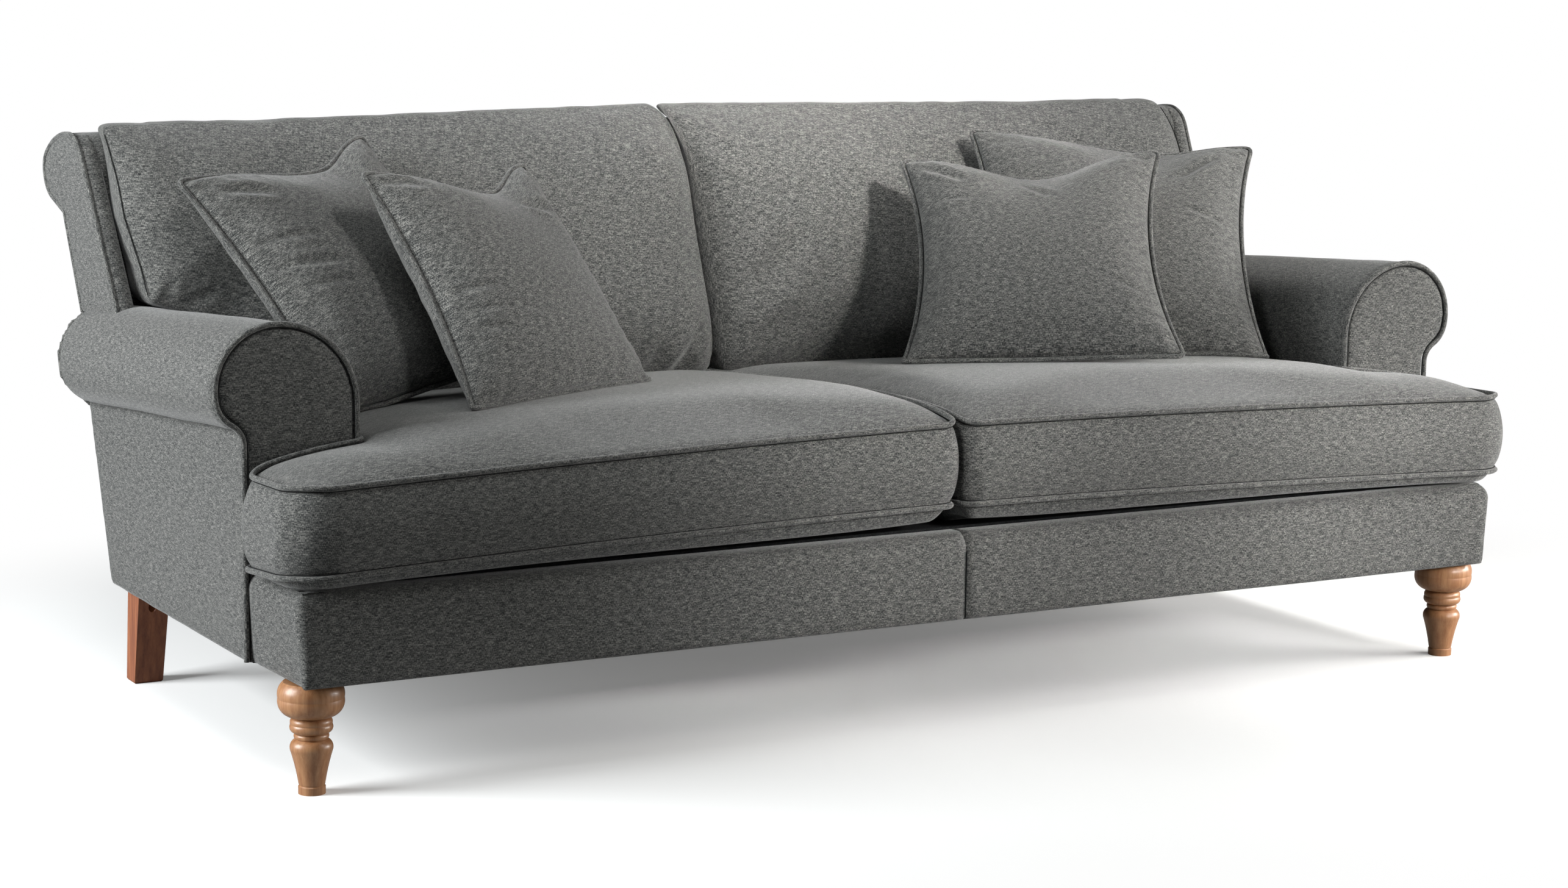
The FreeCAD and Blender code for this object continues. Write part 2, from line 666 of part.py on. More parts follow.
bolt_depth = 36.0
bolt_length = bolt_depth + frame_lift + block_height + 12
bolt_foot = Vector(leg_x, leg_y, leg_height - bolt_depth)
leg_bolt = Part.makeCylinder(leg_bolt_radius, bolt_length, bolt_foot)
socket = Part.makeCylinder(leg_bolt_radius + 0.1, bolt_depth + 1, bolt_foot - Vector(0, 0, gap))
front_leg = turned_leg(leg_x, leg_y).cut(socket)
nut_z = frame_bottom + block_height
washer = Part.makeCylinder(12, 2, Vector(leg_x, leg_y, nut_z + gap))
hexagon = [Vector(leg_x + 7.5 * math.cos(i * math.pi / 3), leg_y + 7.5 * math.sin(i * math.pi / 3),
                  nut_z + 2 + gap) for i in range(6)]
nut = face_of(hexagon).extrude(Vector(0, 0, 6.5))
nut = nut.fuse(washer).cut(Part.makeCylinder(leg_bolt_radius + 0.1, 20, Vector(leg_x, leg_y, nut_z)))
nodes["leg_bolts"] = pair(leg_bolt)
nodes["leg_nuts"] = pair(nut.removeSplitter())


def rectangle(x0, x1, y0, y1, z):
    return Part.makePolygon([Vector(x0, y0, z), Vector(x1, y0, z), Vector(x1, y1, z), Vector(x0, y1, z),
                             Vector(x0, y0, z)])


leg_in, leg_out = back_leg_x
foot_chamfer = 3.0
leg_top_z = leg_height - gap
low_y = [foot + foot_chamfer / leg_top_z * (top - foot)
         for foot, top in zip(back_leg_foot_y, back_leg_top_y)]
shank = Part.makeLoft([rectangle(leg_in, leg_out, low_y[0], low_y[1], foot_chamfer),
                       rectangle(leg_in - 4, leg_out, *back_leg_top_y, leg_top_z)], True, True)
toe = Part.makeLoft([rectangle(leg_in + 2, leg_out - 2, back_leg_foot_y[0] + 2, back_leg_foot_y[1] - 2, 0),
                     rectangle(leg_in, leg_out, low_y[0], low_y[1], foot_chamfer)], True, True)
back_leg = shank.fuse(toe).removeSplitter()
screw_x = (leg_in + leg_out) / 2
screw_way = Vector(0, 0.62, 0.785).normalize()
screw_start = Vector(screw_x, 797.0, leg_height - 35.0)
screw_head = 6.0
pocket_depth = 24.0
pocket = Part.makeCylinder(screw_head + 0.6, 40, screw_start - screw_way * (40 - pocket_depth), screw_way)
shaft_hole = Part.makeCylinder(screw_radius + 0.2, 90, screw_start, screw_way)
back_leg = back_leg.cut(pocket).cut(shaft_hole)
head_start = screw_start + screw_way * (pocket_depth - 5 - gap)
screw = Part.makeCylinder(screw_radius, 49, head_start, screw_way)
head = Part.makeCylinder(screw_head, 5, head_start, screw_way)
nodes["leg_screws"] = pair(screw.fuse(head).removeSplitter())
block_front, block_top = rear_rail_y + board_thickness + gap, frame_bottom + 44
leg_block = prism_yz([(block_front, frame_bottom), (outer_y(frame_bottom) - back_skin, frame_bottom),
                      (outer_y(block_top) - back_skin, block_top), (block_front, block_top)],
                     leg_in - 12, leg_out + 4)
nodes["rear_leg_blocks"] = pair(leg_block.cut(shaft_hole))
nodes["front_leg_left"] = mirrored(front_leg)
nodes["front_leg_right"] = front_leg
nodes["back_leg_left"] = mirrored(back_leg)
nodes["back_leg_right"] = back_leg

cover_plan = [(-return_rail_x, base_pad + gap), (return_rail_x, base_pad + gap),
              (return_rail_x, arm_front - gap), (outer_half_width - panel_thickness - gap, arm_front + 10),
              (outer_half_width - panel_thickness - gap, outer_y(leg_height) - back_skin - 1),
              (-outer_half_width + panel_thickness + gap, outer_y(leg_height) - back_skin - 1),
              (-outer_half_width + panel_thickness + gap, arm_front + 10), (-return_rail_x, arm_front - gap)]
dust_cover = prism_xy(cover_plan, leg_height, frame_bottom - gap)
for hole in (bolt_hole, shaft_hole):
    wide = hole.copy()
    dust_cover = dust_cover.cut(wide).cut(mirrored(wide))
nodes["dust_cover"] = dust_cover

# ---------------------------------------------------------------- the seat cushions
crown_y = 300.0
seat_arc = Part.Arc(Vector(0, seat_front + 6, seat_lip_top), Vector(0, crown_y, seat_crown),
                    Vector(0, seat_back, seat_rear_top)).toShape().Curve


def seat_profile(inset, x0, x1):
    """Side view of a seat cushion: boxed front, crowned top and belly."""
    i = inset
    top = Part.Arc(Vector(x0, seat_front + 6 + i, seat_lip_top - i), Vector(x0, crown_y, seat_crown - i),
                   Vector(x0, seat_back - i, seat_rear_top - i)).toShape()
    front = arc_yz(x0, (seat_front + 6 + i, seat_lip_bottom + i),
                   (seat_front + i, (seat_lip_bottom + seat_lip_top) / 2), (seat_front + 6 + i, seat_lip_top - i))
    rest = seat_rest + gap + i
    belly = [line_yz(x0, (seat_back - i, seat_rear_top - i), (seat_back - i, seat_lip_bottom + i)),
             line_yz(x0, (seat_back - i, seat_lip_bottom + i), (seat_back - 70, rest)),
             line_yz(x0, (seat_back - 70, rest), (70, rest)),
             line_yz(x0, (70, rest), (seat_front + 6 + i, seat_lip_bottom + i))]
    wire = Part.Wire(Part.__sortEdges__([top, front] + belly))
    return Part.Face(wire).extrude(Vector(x1 - x0, 0, 0))


def seat_plan(split, inset):
    """Plan of the right seat cushion: its front corner reaches round the arm."""
    i = inset
    neck = inner_half_width - 3 - i
    ear_back = arm_front - 5 - i
    points = [(split + i, seat_front - 1), (seat_end - i, seat_front - 1), (seat_end - i, ear_back),
              (neck, ear_back), (neck, seat_back + 1), (split + i, seat_back + 1)]
    block = prism_xy(points, seat_rest - 10, seat_crown + 10)
    corners = [e for e in block.Edges if e.BoundBox.ZLength > 100 and
               abs(e.BoundBox.XMax - seat_end + i) < 1]
    return block.makeFillet(seat_corner, corners)


for name, side, turn in (("left", -1, mirrored), ("right", 1, lambda shape: shape)):
    split = side * seat_split_x + seat_split
    shapes = []
    for inset in (0, cover_thickness, cover_thickness + gap):
        shapes.append(seat_profile(inset, -100, seat_end + 10).common(seat_plan(split, inset)))
    nodes["seat_cushion_cover_" + name] = turn(shapes[0].cut(shapes[1]))
    nodes["seat_cushion_core_" + name] = turn(shapes[2])

# ---------------------------------------------------------------- the back cushions
def seat_height(y):
    """The seat's crowned top, from the circle through its three points."""
    centre, radius = seat_arc.Center, seat_arc.Radius
    return centre.z + math.sqrt(radius * radius - (y - centre.y) ** 2)


def back_profile(inset, x0, x1):
    """Side view of a back cushion: bulging face, rounded brow, flat rear."""
    i = inset
    front_y, belly_y, brow_y = [y + i for y, z in back_face]
    foot_z = seat_height(front_y) + 1.2 + i
    rear_z = scroll_front[1] - 4
    low_rear = (inner_y(foot_z) - 1 - i, foot_z)
    high_rear = (inner_y(rear_z) - 1 - i, rear_z)
    clear_roll = (high_rear[0] + 3, rear_z + 32)
    crest = (back_cushion_crest - i, back_cushion_top - i)
    face = arc_yz(x0, (front_y, foot_z), (belly_y, back_face[1][1]), (brow_y, back_face[2][1]))
    brow = arc_yz(x0, (brow_y, back_face[2][1]), (back_cushion_brow[0] + i, back_cushion_brow[1] - i), crest)
    rear = [line_yz(x0, crest, clear_roll), line_yz(x0, clear_roll, high_rear),
            line_yz(x0, high_rear, low_rear), line_yz(x0, low_rear, (front_y, foot_z))]
    return Part.Face(Part.Wire([face, brow] + rear)).extrude(Vector(x1 - x0, 0, 0))


def back_front_view(inner_x, ear_x, side, inset):
    """Front view: between the arms below, and over the arm above."""
    i = inset
    neck = inner_half_width - 4 - i
    ear_z = wing_bottom(back_face[1][0]) + 6 + i
    points = [(inner_x + side * i, 400), (side * neck, 400), (side * neck, ear_z),
              (side * (ear_x - i), ear_z), (side * (ear_x - i), 1000), (inner_x + side * i, 1000)]
    return prism_xz(points, 600, 1100)


for name, side, ear in (("left", -1, back_ear_left), ("right", 1, back_ear_right)):
    middle = back_split_x + side * back_split
    shapes = []
    for inset in (0, cover_thickness, cover_thickness + gap):
        shapes.append(back_profile(inset, -1200, 1200).common(back_front_view(middle, ear, side, inset)))
    nodes["back_cushion_cover_" + name] = shapes[0].cut(shapes[1])
    nodes["back_cushion_core_" + name] = shapes[2]


# ---------------------------------------------------------------- the scatter cushions
def scatter(side, centre, rise_share, turn, lean, roll):
    """A plump square cushion, turned about Z, then leaned back and rolled; it stands on the seat."""
    half = side / 2
    reach = half * math.sqrt(2)
    rise = scatter_thickness / 2 - 5
    radius = (reach * reach + rise * rise) / (2 * rise)
    block = box(-half, half, -scatter_thickness, scatter_thickness, -half, half)
    corners = [e for e in block.Edges if e.BoundBox.YLength > scatter_thickness]
    block = block.makeFillet(26, corners)
    away = radius - scatter_thickness / 2
    for way in (-1, 1):
        block = block.common(Part.makeSphere(radius, Vector(0, way * away, 0)))
    placed = block.copy()
    placed.rotate(Vector(), Vector(0, 1, 0), -roll)
    placed.rotate(Vector(), Vector(1, 0, 0), -lean)
    placed.rotate(Vector(), Vector(0, 0, 1), turn)
    placed.translate(Vector(centre[0], centre[1], seat_crown + rise_share * side))
    return placed


at_arm = inner_half_width
nodes["scatter_rear_left"] = scatter(large_scatter, (214 - at_arm, 600), 0.4254, 25, 40, 4)
nodes["scatter_front_left"] = scatter(small_scatter, (356 - at_arm, 479), 0.4441, 28.8, 36.2, -2)
nodes["scatter_rear_right"] = scatter(large_scatter, (at_arm - 236, 570), 0.3946, -25, 46, -4)
nodes["scatter_front_right"] = scatter(small_scatter, (at_arm - 449, 470), 0.4023, -33, 45, 3)

# ---------------------------------------------------------------- write every node
roll_end = nodes["back_facing_piping_right"].optimalBoundingBox(False, False)
middle_y = (seat_front + roll_end.YMax) / 2
os.makedirs("parts", exist_ok=True)
for name, shape in nodes.items():
    shape.translate(Vector(0, -middle_y, 0))
    shape.exportStep("parts/" + name + ".step")
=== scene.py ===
import math
import bmesh
import bpy
import numpy as np
from mathutils import Matrix, Vector
from mathutils.bvhtree import BVHTree


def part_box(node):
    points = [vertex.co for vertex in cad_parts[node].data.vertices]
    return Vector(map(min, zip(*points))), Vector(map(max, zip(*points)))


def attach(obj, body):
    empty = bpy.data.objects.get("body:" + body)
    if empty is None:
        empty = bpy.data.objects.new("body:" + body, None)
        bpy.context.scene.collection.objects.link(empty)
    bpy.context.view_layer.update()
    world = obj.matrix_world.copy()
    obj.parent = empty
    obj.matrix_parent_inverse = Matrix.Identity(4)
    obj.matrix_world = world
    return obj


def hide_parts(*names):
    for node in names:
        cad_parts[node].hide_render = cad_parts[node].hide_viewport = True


# Scroll-arm sofa in a grey slubbed weave, on beech legs.  Metres, +Z up, the front faces -Y.
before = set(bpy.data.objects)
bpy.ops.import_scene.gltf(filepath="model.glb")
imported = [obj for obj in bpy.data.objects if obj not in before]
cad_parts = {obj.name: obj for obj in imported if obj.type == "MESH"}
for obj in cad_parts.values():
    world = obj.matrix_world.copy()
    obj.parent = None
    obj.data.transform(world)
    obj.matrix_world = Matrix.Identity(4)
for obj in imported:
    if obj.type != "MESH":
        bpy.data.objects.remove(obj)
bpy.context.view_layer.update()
scene = bpy.context.scene


# ------------------------------------------------------------------ legs and hidden frame
# Turned beech front legs on hanger bolts, square raked back legs stained darker, softwood rails,
# plywood end boards, zinc-plated springs, felt, webbing and black lining.  All of these are the
# CAD's own solids under new finishes.
def linear(code):
    """Linear RGBA of an sRGB hex code."""
    parts = [int(code[i:i + 2], 16) / 255 for i in (1, 3, 5)]
    return [c / 12.92 if c <= 0.04045 else ((c + 0.055) / 1.055) ** 2.4 for c in parts] + [1.0]


def add(tree, kind, inputs=None, **settings):
    """Adds a shader node; inputs are values, sockets, or nodes that give their first output."""
    node = tree.nodes.new("ShaderNode" + kind)
    for key, value in settings.items():
        setattr(node, key, value)
    for key, value in (inputs or {}).items():
        if isinstance(value, bpy.types.Node):
            value = value.outputs[0]
        if isinstance(value, bpy.types.NodeSocket):
            tree.links.new(value, node.inputs[key])
        else:
            node.inputs[key].default_value = value
    return node


def new_material(name):
    material = bpy.data.materials.new(name)
    material.use_nodes = True
    tree = material.node_tree
    tree.nodes.clear()
    return material, tree


def toned(tree, pattern, span, codes, look, relief=None):
    """Ends a material whose colour runs through the codes as its pattern runs over the span."""
    share = add(tree, "MapRange", {"Value": pattern, "From Min": span[0], "From Max": span[1]})
    ramp = add(tree, "ValToRGB", {"Fac": share})
    stops = ramp.color_ramp.elements
    stops[0].color, stops[1].color = linear(codes[0]), linear(codes[-1])
    for code in codes[1:-1]:
        stops.new(0.5).color = linear(code)
    look = {"Base Color": ramp, **look}
    if relief:
        height, distance = relief
        look["Normal"] = add(tree, "Bump", {"Height": height, "Strength": 0.4, "Distance": distance})
    surface = add(tree, "BsdfPrincipled", look)
    add(tree, "OutputMaterial", {"Surface": surface})


# Timber: bands of grain 8 mm wide and 143 mm long, with flecks 1.1 by 11 mm.  Real flecks are half
# as wide, and are drawn coarser so that they show.  Satin lacquer on the legs, bare wood inside.
def timber(name, pale, deep, grain_axis, lacquer=0.35):
    material, tree = new_material(name)
    spot = add(tree, "TexCoord").outputs["Object"]
    layers = []
    for wide, long, detail, rough in ((1 / 120, 1 / 7, 4.0, 0.6), (1 / 900, 1 / 90, 1.0, 0.5)):
        scale = [1 / wide] * 3
        scale[grain_axis] = 1 / long
        scaled = add(tree, "Mapping", {"Vector": spot, "Scale": scale})
        layers.append(add(tree, "TexNoise", {"Vector": scaled, "Scale": 1.0, "Detail": detail,
                                                       "Roughness": rough}))
    grain, flecks = layers
    mixed = add(tree, "Math", {0: flecks, 1: 0.25, 2: grain}, operation="MULTIPLY_ADD")
    toned(tree, mixed, (0.42, 0.85), (deep, pale),
          {"Roughness": 0.42 if lacquer else 0.7, "Coat Weight": lacquer, "Coat Roughness": 0.25})
    return material


# Linings: plain close cloth, dull and slightly uneven, its noise stretched along two thread ways.
def lining(name, dark, light, thread):
    material, tree = new_material(name)
    spot = add(tree, "TexCoord").outputs["Object"]
    total = 0.5
    for ways in ((1, 0.2, 0.5), (0.2, 1, 1)):
        scale = [way / thread for way in ways]
        scaled = add(tree, "Mapping", {"Vector": spot, "Scale": scale})
        noise = add(tree, "TexNoise", {"Vector": scaled, "Scale": 1.0, "Detail": 2.0})
        total = add(tree, "Math", {0: noise, 1: 0.5, 2: total}, operation="MULTIPLY_ADD")
    toned(tree, total, (0.85, 1.15), (dark, light), {"Roughness": 0.95, "Specular IOR Level": 0.1},
          (total, thread / 3))
    return material


turned_beech = timber("turned_beech", "#b98a62", "#95633f", 2)
stained_beech = timber("stained_beech", "#a8663f", "#763d22", 2)
softwood = timber("softwood", "#d6b98c", "#b98f5c", 0, 0.0)
plywood = timber("plywood", "#cfae7e", "#a9814f", 1, 0.0)
black_lining = lining("black_lining", "#131414", "#2b2c2d", 0.0009)
felt = lining("felt", "#5d5a55", "#8d8a83", 0.0030)
webbing = lining("webbing", "#1f1d1a", "#4a443c", 0.0014)

# Zinc-plated steel: bright, with the patchy gloss of a passivated coat, mottled every 4 mm.
zinc_steel, tree = new_material("zinc_steel")
mottle = add(tree, "TexNoise", {"Vector": add(tree, "TexCoord").outputs["Object"],
                                          "Scale": 260.0, "Detail": 3.0})
gloss = add(tree, "MapRange", {"Value": mottle, "To Min": 0.22, "To Max": 0.52})
surface = add(tree, "BsdfPrincipled",
              {"Base Color": linear("#b4b7ba"), "Metallic": 1.0, "Roughness": gloss})
add(tree, "OutputMaterial", {"Surface": surface})

# Each kept node takes its finish by the start of its name; softwood is what no other word names.
finishes = (("front_leg", turned_beech), ("back_leg", stained_beech), ("arm_boards", plywood),
            ("back_end_boards", plywood), ("back_scroll_formers", plywood), ("back_webbing", webbing),
            ("spring_felt", felt), ("seat_deck", black_lining), ("dust_cover", black_lining),
            ("leg_bolts", zinc_steel), ("leg_nuts", zinc_steel), ("leg_screws", zinc_steel),
            ("seat_springs", zinc_steel), ("spring_", zinc_steel), ("", softwood))
for name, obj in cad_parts.items():
    finish = next(material for word, material in finishes if name.startswith(word))
    for slot in range(len(obj.data.materials)):
        obj.data.materials[slot] = finish

# ------------------------------------------------------------------ scroll arms
# Each arm is plywood boards and rails under foam, covered in one run of the weave that rolls over
# and under and is tacked at the fold.  A piped facing closes the front, a panel covers the outside
# down to the rail, and a pad closes the far end against the back.
base_low, base_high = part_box("base_cover_left")
base_front, base_bottom, base_top = base_low.y, base_low.z, base_high.z
half_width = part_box("arm_side_panel_right")[1].x
inner_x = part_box("arm_scroll_pad_right")[0].x
arm_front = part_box("arm_facing_right")[0].y - base_front
arm_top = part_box("arm_facing_piping_right")[1].z
arm_slope = 0.078       # fall of the arm per metre of depth
outer_lean = 0.347      # rake of the outside of the back per metre of height
inner_r, outer_r, under_r = 0.127, 0.097, 0.052
curl_x = inner_x + inner_r
inner_z, outer_z = arm_top - inner_r, arm_top - outer_r
under_turn = math.radians(-10)
under_x = curl_x + (outer_r - under_r) * math.cos(under_turn)
under_z = outer_z + (outer_r - under_r) * math.sin(under_turn)
tip_turn = -math.acos((half_width - under_x) / under_r)


def y_at(depth):
    """Model y of a depth measured back from the base's front face."""
    return base_front + depth


def outer_back(z):
    """Depth of the outside of the back at a height."""
    return 0.849 + outer_lean * (z - base_bottom)


# The weave: slubs along both threads, light on dark, with a fine bump from the same threads.  Real
# threads are 0.4 mm, and are drawn 0.6 mm wide, with 4 mm streaks and 16 mm slubs, so that they show.
def weave(name, dark, middle, light, sheen=0.25):
    material, tree = new_material(name)
    uv = add(tree, "UVMap", uv_map="cloth")
    layers = []
    for across, along in ((0.0006, 0.0038), (0.0046, 0.0006), (0.0160, 0.0012), (0.0120, 0.0080)):
        scaled = add(tree, "Mapping", {"Vector": uv, "Scale": (1 / across, 1 / along, 1)})
        layers.append(add(tree, "TexNoise",
                          {"Vector": scaled, "Scale": 1.0, "Detail": 1.0,
                           "Roughness": 0.6}))
    warp, weft, slub, fade = layers
    both = add(tree, "Math", {0: warp, 1: weft}, operation="ADD")
    tone = add(tree, "Math", {0: slub, 1: 0.60, 2: both}, operation="MULTIPLY_ADD")
    tone = add(tree, "Math", {0: fade, 1: 0.30, 2: tone}, operation="MULTIPLY_ADD")
    toned(tree, tone, (1.18, 1.73), (dark, middle, light),
          {"Roughness": 0.92, "Sheen Weight": sheen, "Sheen Roughness": 0.45, "Specular IOR Level": 0.15},
          (both, 0.0005))
    return material


grey_weave = weave("grey_weave", "#17191b", "#4a4b4a", "#8e8d89")
# A near-black copy of the same weave, for thin cords that paint the shade in the grooves beside the piping and in
# the seams.
painted_shade_weave = weave("painted_shade_weave", "#0c0d0e", "#1a1b1b", "#2c2c2b", 0.05)


def stand(name, data):
    """Puts an object in the scene."""
    obj = bpy.data.objects.new(name, data)
    scene.collection.objects.link(obj)
    return obj


def finish_mesh(bm, mesh):
    """Ends a bmesh with its normals outwards.  A sharp rim can mislead the operator, so the
    signed volume decides."""
    bmesh.ops.recalc_face_normals(bm, faces=bm.faces)
    if bm.calc_volume(signed=True) < 0:
        bmesh.ops.reverse_faces(bm, faces=bm.faces)
    bm.to_mesh(mesh)
    bm.free()
    return mesh


def piece(name, mesh, stands_for=(), body="frame", cloth=grey_weave):
    """A finished piece of the cover, and all that it says to the frame."""
    obj = stand(name, mesh)
    mesh.materials.clear()
    mesh.materials.append(cloth)
    mesh.shade_smooth()
    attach(obj, body)
    if stands_for:
        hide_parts(*stands_for)
    return obj


def points_of(mesh, what="co"):
    flat = np.empty(len(mesh.vertices) * 3, dtype=np.float32)
    mesh.vertices.foreach_get(what, flat)
    return flat.reshape(-1, 3).astype(float)


def place(mesh, coords):
    mesh.vertices.foreach_set("co", np.asarray(coords, dtype=np.float32).ravel())
    mesh.update()


def outwards(mesh):
    bm = bmesh.new()
    bm.from_mesh(mesh)
    finish_mesh(bm, mesh)


def set_uv(mesh, coords):
    """The cloth's own coordinates in metres, a pair for each corner of each face."""
    layer = mesh.uv_layers.new(name="cloth")
    layer.data.foreach_set("uv", np.asarray(coords, dtype=np.float32).ravel())


def ripple(points, size, seed):
    """Smooth value noise between -1 and 1 at a feature size, from sums of sines."""
    rng = np.random.default_rng(seed)
    total = np.zeros(len(points))
    for _ in range(7):
        way = rng.normal(size=3)
        way /= np.linalg.norm(way)
        total += np.sin(points @ way * (2 * math.pi / size) * rng.uniform(0.6, 1.5) + rng.uniform(0, 6.28))
    return total / 7 * 1.6


def swell(mesh, amount):
    """Moves each point along its normal."""
    place(mesh, points_of(mesh) + points_of(mesh, "normal") * amount[:, None])


def line(start, finish, steps):
    """Points on a line, both ends included."""
    return [(start[0] + (finish[0] - start[0]) * k / steps, start[1] + (finish[1] - start[1]) * k / steps)
            for k in range(steps + 1)]


def arc(centre, radius, start, finish, steps):
    """Points on an arc between two angles, both ends included."""
    turns = [start + (finish - start) * k / steps for k in range(steps + 1)]
    return [(centre[0] + radius * math.cos(a), centre[1] + radius * math.sin(a)) for a in turns]


def skin(name, rows, uv):
    """A sheet of cloth laid on rows of points, sewn where its edges meet and closed at open ends."""
    bm = bmesh.new()
    bmesh.ops.create_grid(bm, x_segments=len(rows[0]) - 1, y_segments=len(rows) - 1, size=1)
    cloth = bm.loops.layers.uv.new("cloth")
    spots = [spot for row in rows for spot in row]
    coords = [pair for row in uv for pair in row]
    bm.verts.index_update()
    for vert, spot in zip(bm.verts, spots):
        vert.co = spot
    for face in bm.faces:
        for loop in face.loops:
            loop[cloth].uv = coords[loop.vert.index]
    bmesh.ops.remove_doubles(bm, verts=bm.verts, dist=1e-6)
    for face in bmesh.ops.holes_fill(bm, edges=bm.edges, sides=0)["faces"]:
        for loop in face.loops:
            beside = next(other for other in loop.vert.link_loops if other.face is not face)
            loop[cloth].uv = beside[cloth].uv
    return finish_mesh(bm, bpy.data.meshes.new(name))


def sleeve(name, stations, set_point, turned=False):
    """A closed skin through sections; set_point gives a corner's place and its length along."""
    rows, uv = [], []
    for section, station in stations:
        row, coords, around, previous = [], [], 0.0, section[0]
        for corner in section + section[:1]:
            around += math.dist(previous, corner)
            previous = corner
            spot, along = set_point(corner, station)
            row.append(spot)
            coords.append((around, along) if turned else (along, around))
        rows.append(row)
        uv.append(coords)
    return skin(name, rows, uv)


def divide(points, step, closed):
    """Points at even spacing along a 3D path."""
    path = np.array([tuple(p) for p in points])
    if closed:
        path = np.vstack([path, path[:1]])
    lengths = np.concatenate([[0], np.cumsum(np.linalg.norm(np.diff(path, axis=0), axis=1))])
    at = np.linspace(0, lengths[-1], max(3, int(lengths[-1] / step)) + 1)
    out = np.stack([np.interp(at, lengths, path[:, k]) for k in range(3)], axis=1)
    return [Vector(p) for p in (out[:-1] if closed else out)]


def tube(name, points, step, radius, stands_for=(), body="frame", cloth=grey_weave, closed=True, sides=10):
    """Piping, or a thin dark cord of painted shade along a groove or seam: a round cord in cloth along a path,
    evenly divided.
    """
    path = divide(points, step, closed)
    count = len(path)
    turns = [2 * math.pi * k / sides for k in range(sides + 1)]
    rows, uv, travelled = [], [], 0.0
    way = (path[1] - path[0]).normalized()
    up = Vector((0, 0, 1)) if abs(way.z) < 0.9 else Vector((0, 1, 0))
    side = way.cross(up).normalized()
    for i, point in enumerate(path):
        ahead = path[(i + 1) % count] if closed or i < count - 1 else point
        behind = path[i - 1] if closed or i else point
        way = (ahead - behind).normalized()
        side = (side - way * side.dot(way)).normalized()
        up = way.cross(side)
        rows.append([point + (side * math.cos(a) + up * math.sin(a)) * radius for a in turns])
        uv.append([(travelled, radius * a) for a in turns])
        travelled += (ahead - point).length
    if closed:
        rows.append(rows[0])
        uv.append([(travelled, radius * a) for a in turns])
    return piece(name, skin(name, rows, uv), stands_for, body, cloth=cloth)


def spread(points, step):
    """The same closed outline with points every step or so."""
    out = []
    for i, here in enumerate(points):
        here, ahead = np.array(here), np.array(points[(i + 1) % len(points)])
        count = max(1, int(np.linalg.norm(ahead - here) / step))
        out += [tuple(here + (ahead - here) * k / count) for k in range(count)]
    return out


def edge_distance(points, outline):
    """Distance of 2D points to a closed outline, and the direction away from the middle there."""
    start = np.array(outline)
    along = np.roll(start, -1, axis=0) - start
    best = np.full(len(points), 1e9)
    outward = np.zeros((len(points), 2))
    turn = np.sum(start[:, 0] * np.roll(start[:, 1], -1) - np.roll(start[:, 0], -1) * start[:, 1])
    sign = 1 if turn > 0 else -1
    for a, d in zip(start, along):
        size = d @ d
        if size < 1e-12:
            continue
        t = np.clip(((points - a) @ d) / size, 0, 1)
        dist = np.linalg.norm(points - (a + t[:, None] * d), axis=1)
        near = dist < best
        best[near] = dist[near]
        outward[near] = np.array([d[1], -d[0]]) / math.sqrt(size) * sign
    return best, outward


def slab(name, outline, thickness, voxel, smooth):
    """A closed even mesh in its own flat frame: outline in (u, v), thickness along w from 0."""
    bm = bmesh.new()
    low = bm.faces.new([bm.verts.new((u, v, 0)) for u, v in outline])
    lifted = bmesh.ops.extrude_face_region(bm, geom=[low])
    tops = [g for g in lifted["geom"] if isinstance(g, bmesh.types.BMVert)]
    bmesh.ops.translate(bm, verts=tops, vec=(0, 0, thickness))
    rough = stand(name + "_rough", finish_mesh(bm, bpy.data.meshes.new(name)))
    remesh = rough.modifiers.new("even", "REMESH")
    remesh.mode, remesh.voxel_size, remesh.adaptivity = "VOXEL", voxel, 0
    soft = rough.modifiers.new("soft", "SMOOTH")
    soft.factor, soft.iterations = 0.5, smooth
    graph = bpy.context.evaluated_depsgraph_get()
    even = bpy.data.meshes.new_from_object(rough.evaluated_get(graph))
    bpy.data.objects.remove(rough)
    flat = points_of(even)
    # the cloth lies flat on the two faces and wraps round the border
    other_axes = ([1, 2], [0, 2], [0, 1])
    coords = []
    for face in even.polygons:
        axes = other_axes[int(np.argmax(np.abs(face.normal)))]
        coords += [flat[v][axes] for v in face.vertices]
    set_uv(even, coords)
    return even, flat


def padded_panel(name, outline, thickness, to_space, puff, voxel, seed, stands_for=(), soft=0.0006):
    """A flat padded panel whose face bulges by puff; to_space takes its (u, v, w) to the model."""
    mesh, flat = slab(name, spread(outline, voxel), thickness, voxel, 2)
    inside, _ = edge_distance(flat[:, :2], outline)
    rise = puff * (1 - np.exp(-inside / 0.014)) + soft * ripple(flat, 0.09, seed)
    flat[:, 2] += np.where(flat[:, 2] / thickness > 0.5, rise, 0)
    place(mesh, np.stack(to_space(*flat.T), axis=1))
    outwards(mesh)
    return piece(name, mesh, stands_for)


def arm_section(inset, foot):
    """Points (x, z) of the arm at its front: up the inside, over and under to the fold."""
    up = line((inner_x + inset, foot), (inner_x + inset, inner_z), 8)[:-1]
    over = arc((curl_x, inner_z), inner_r - inset, math.pi, math.pi / 2, 18)[:-1]
    down = arc((curl_x, outer_z), outer_r - inset, math.pi / 2, under_turn, 20)[:-1]
    return up + over + down + arc((under_x, under_z), under_r - inset, under_turn, tip_turn, 10)


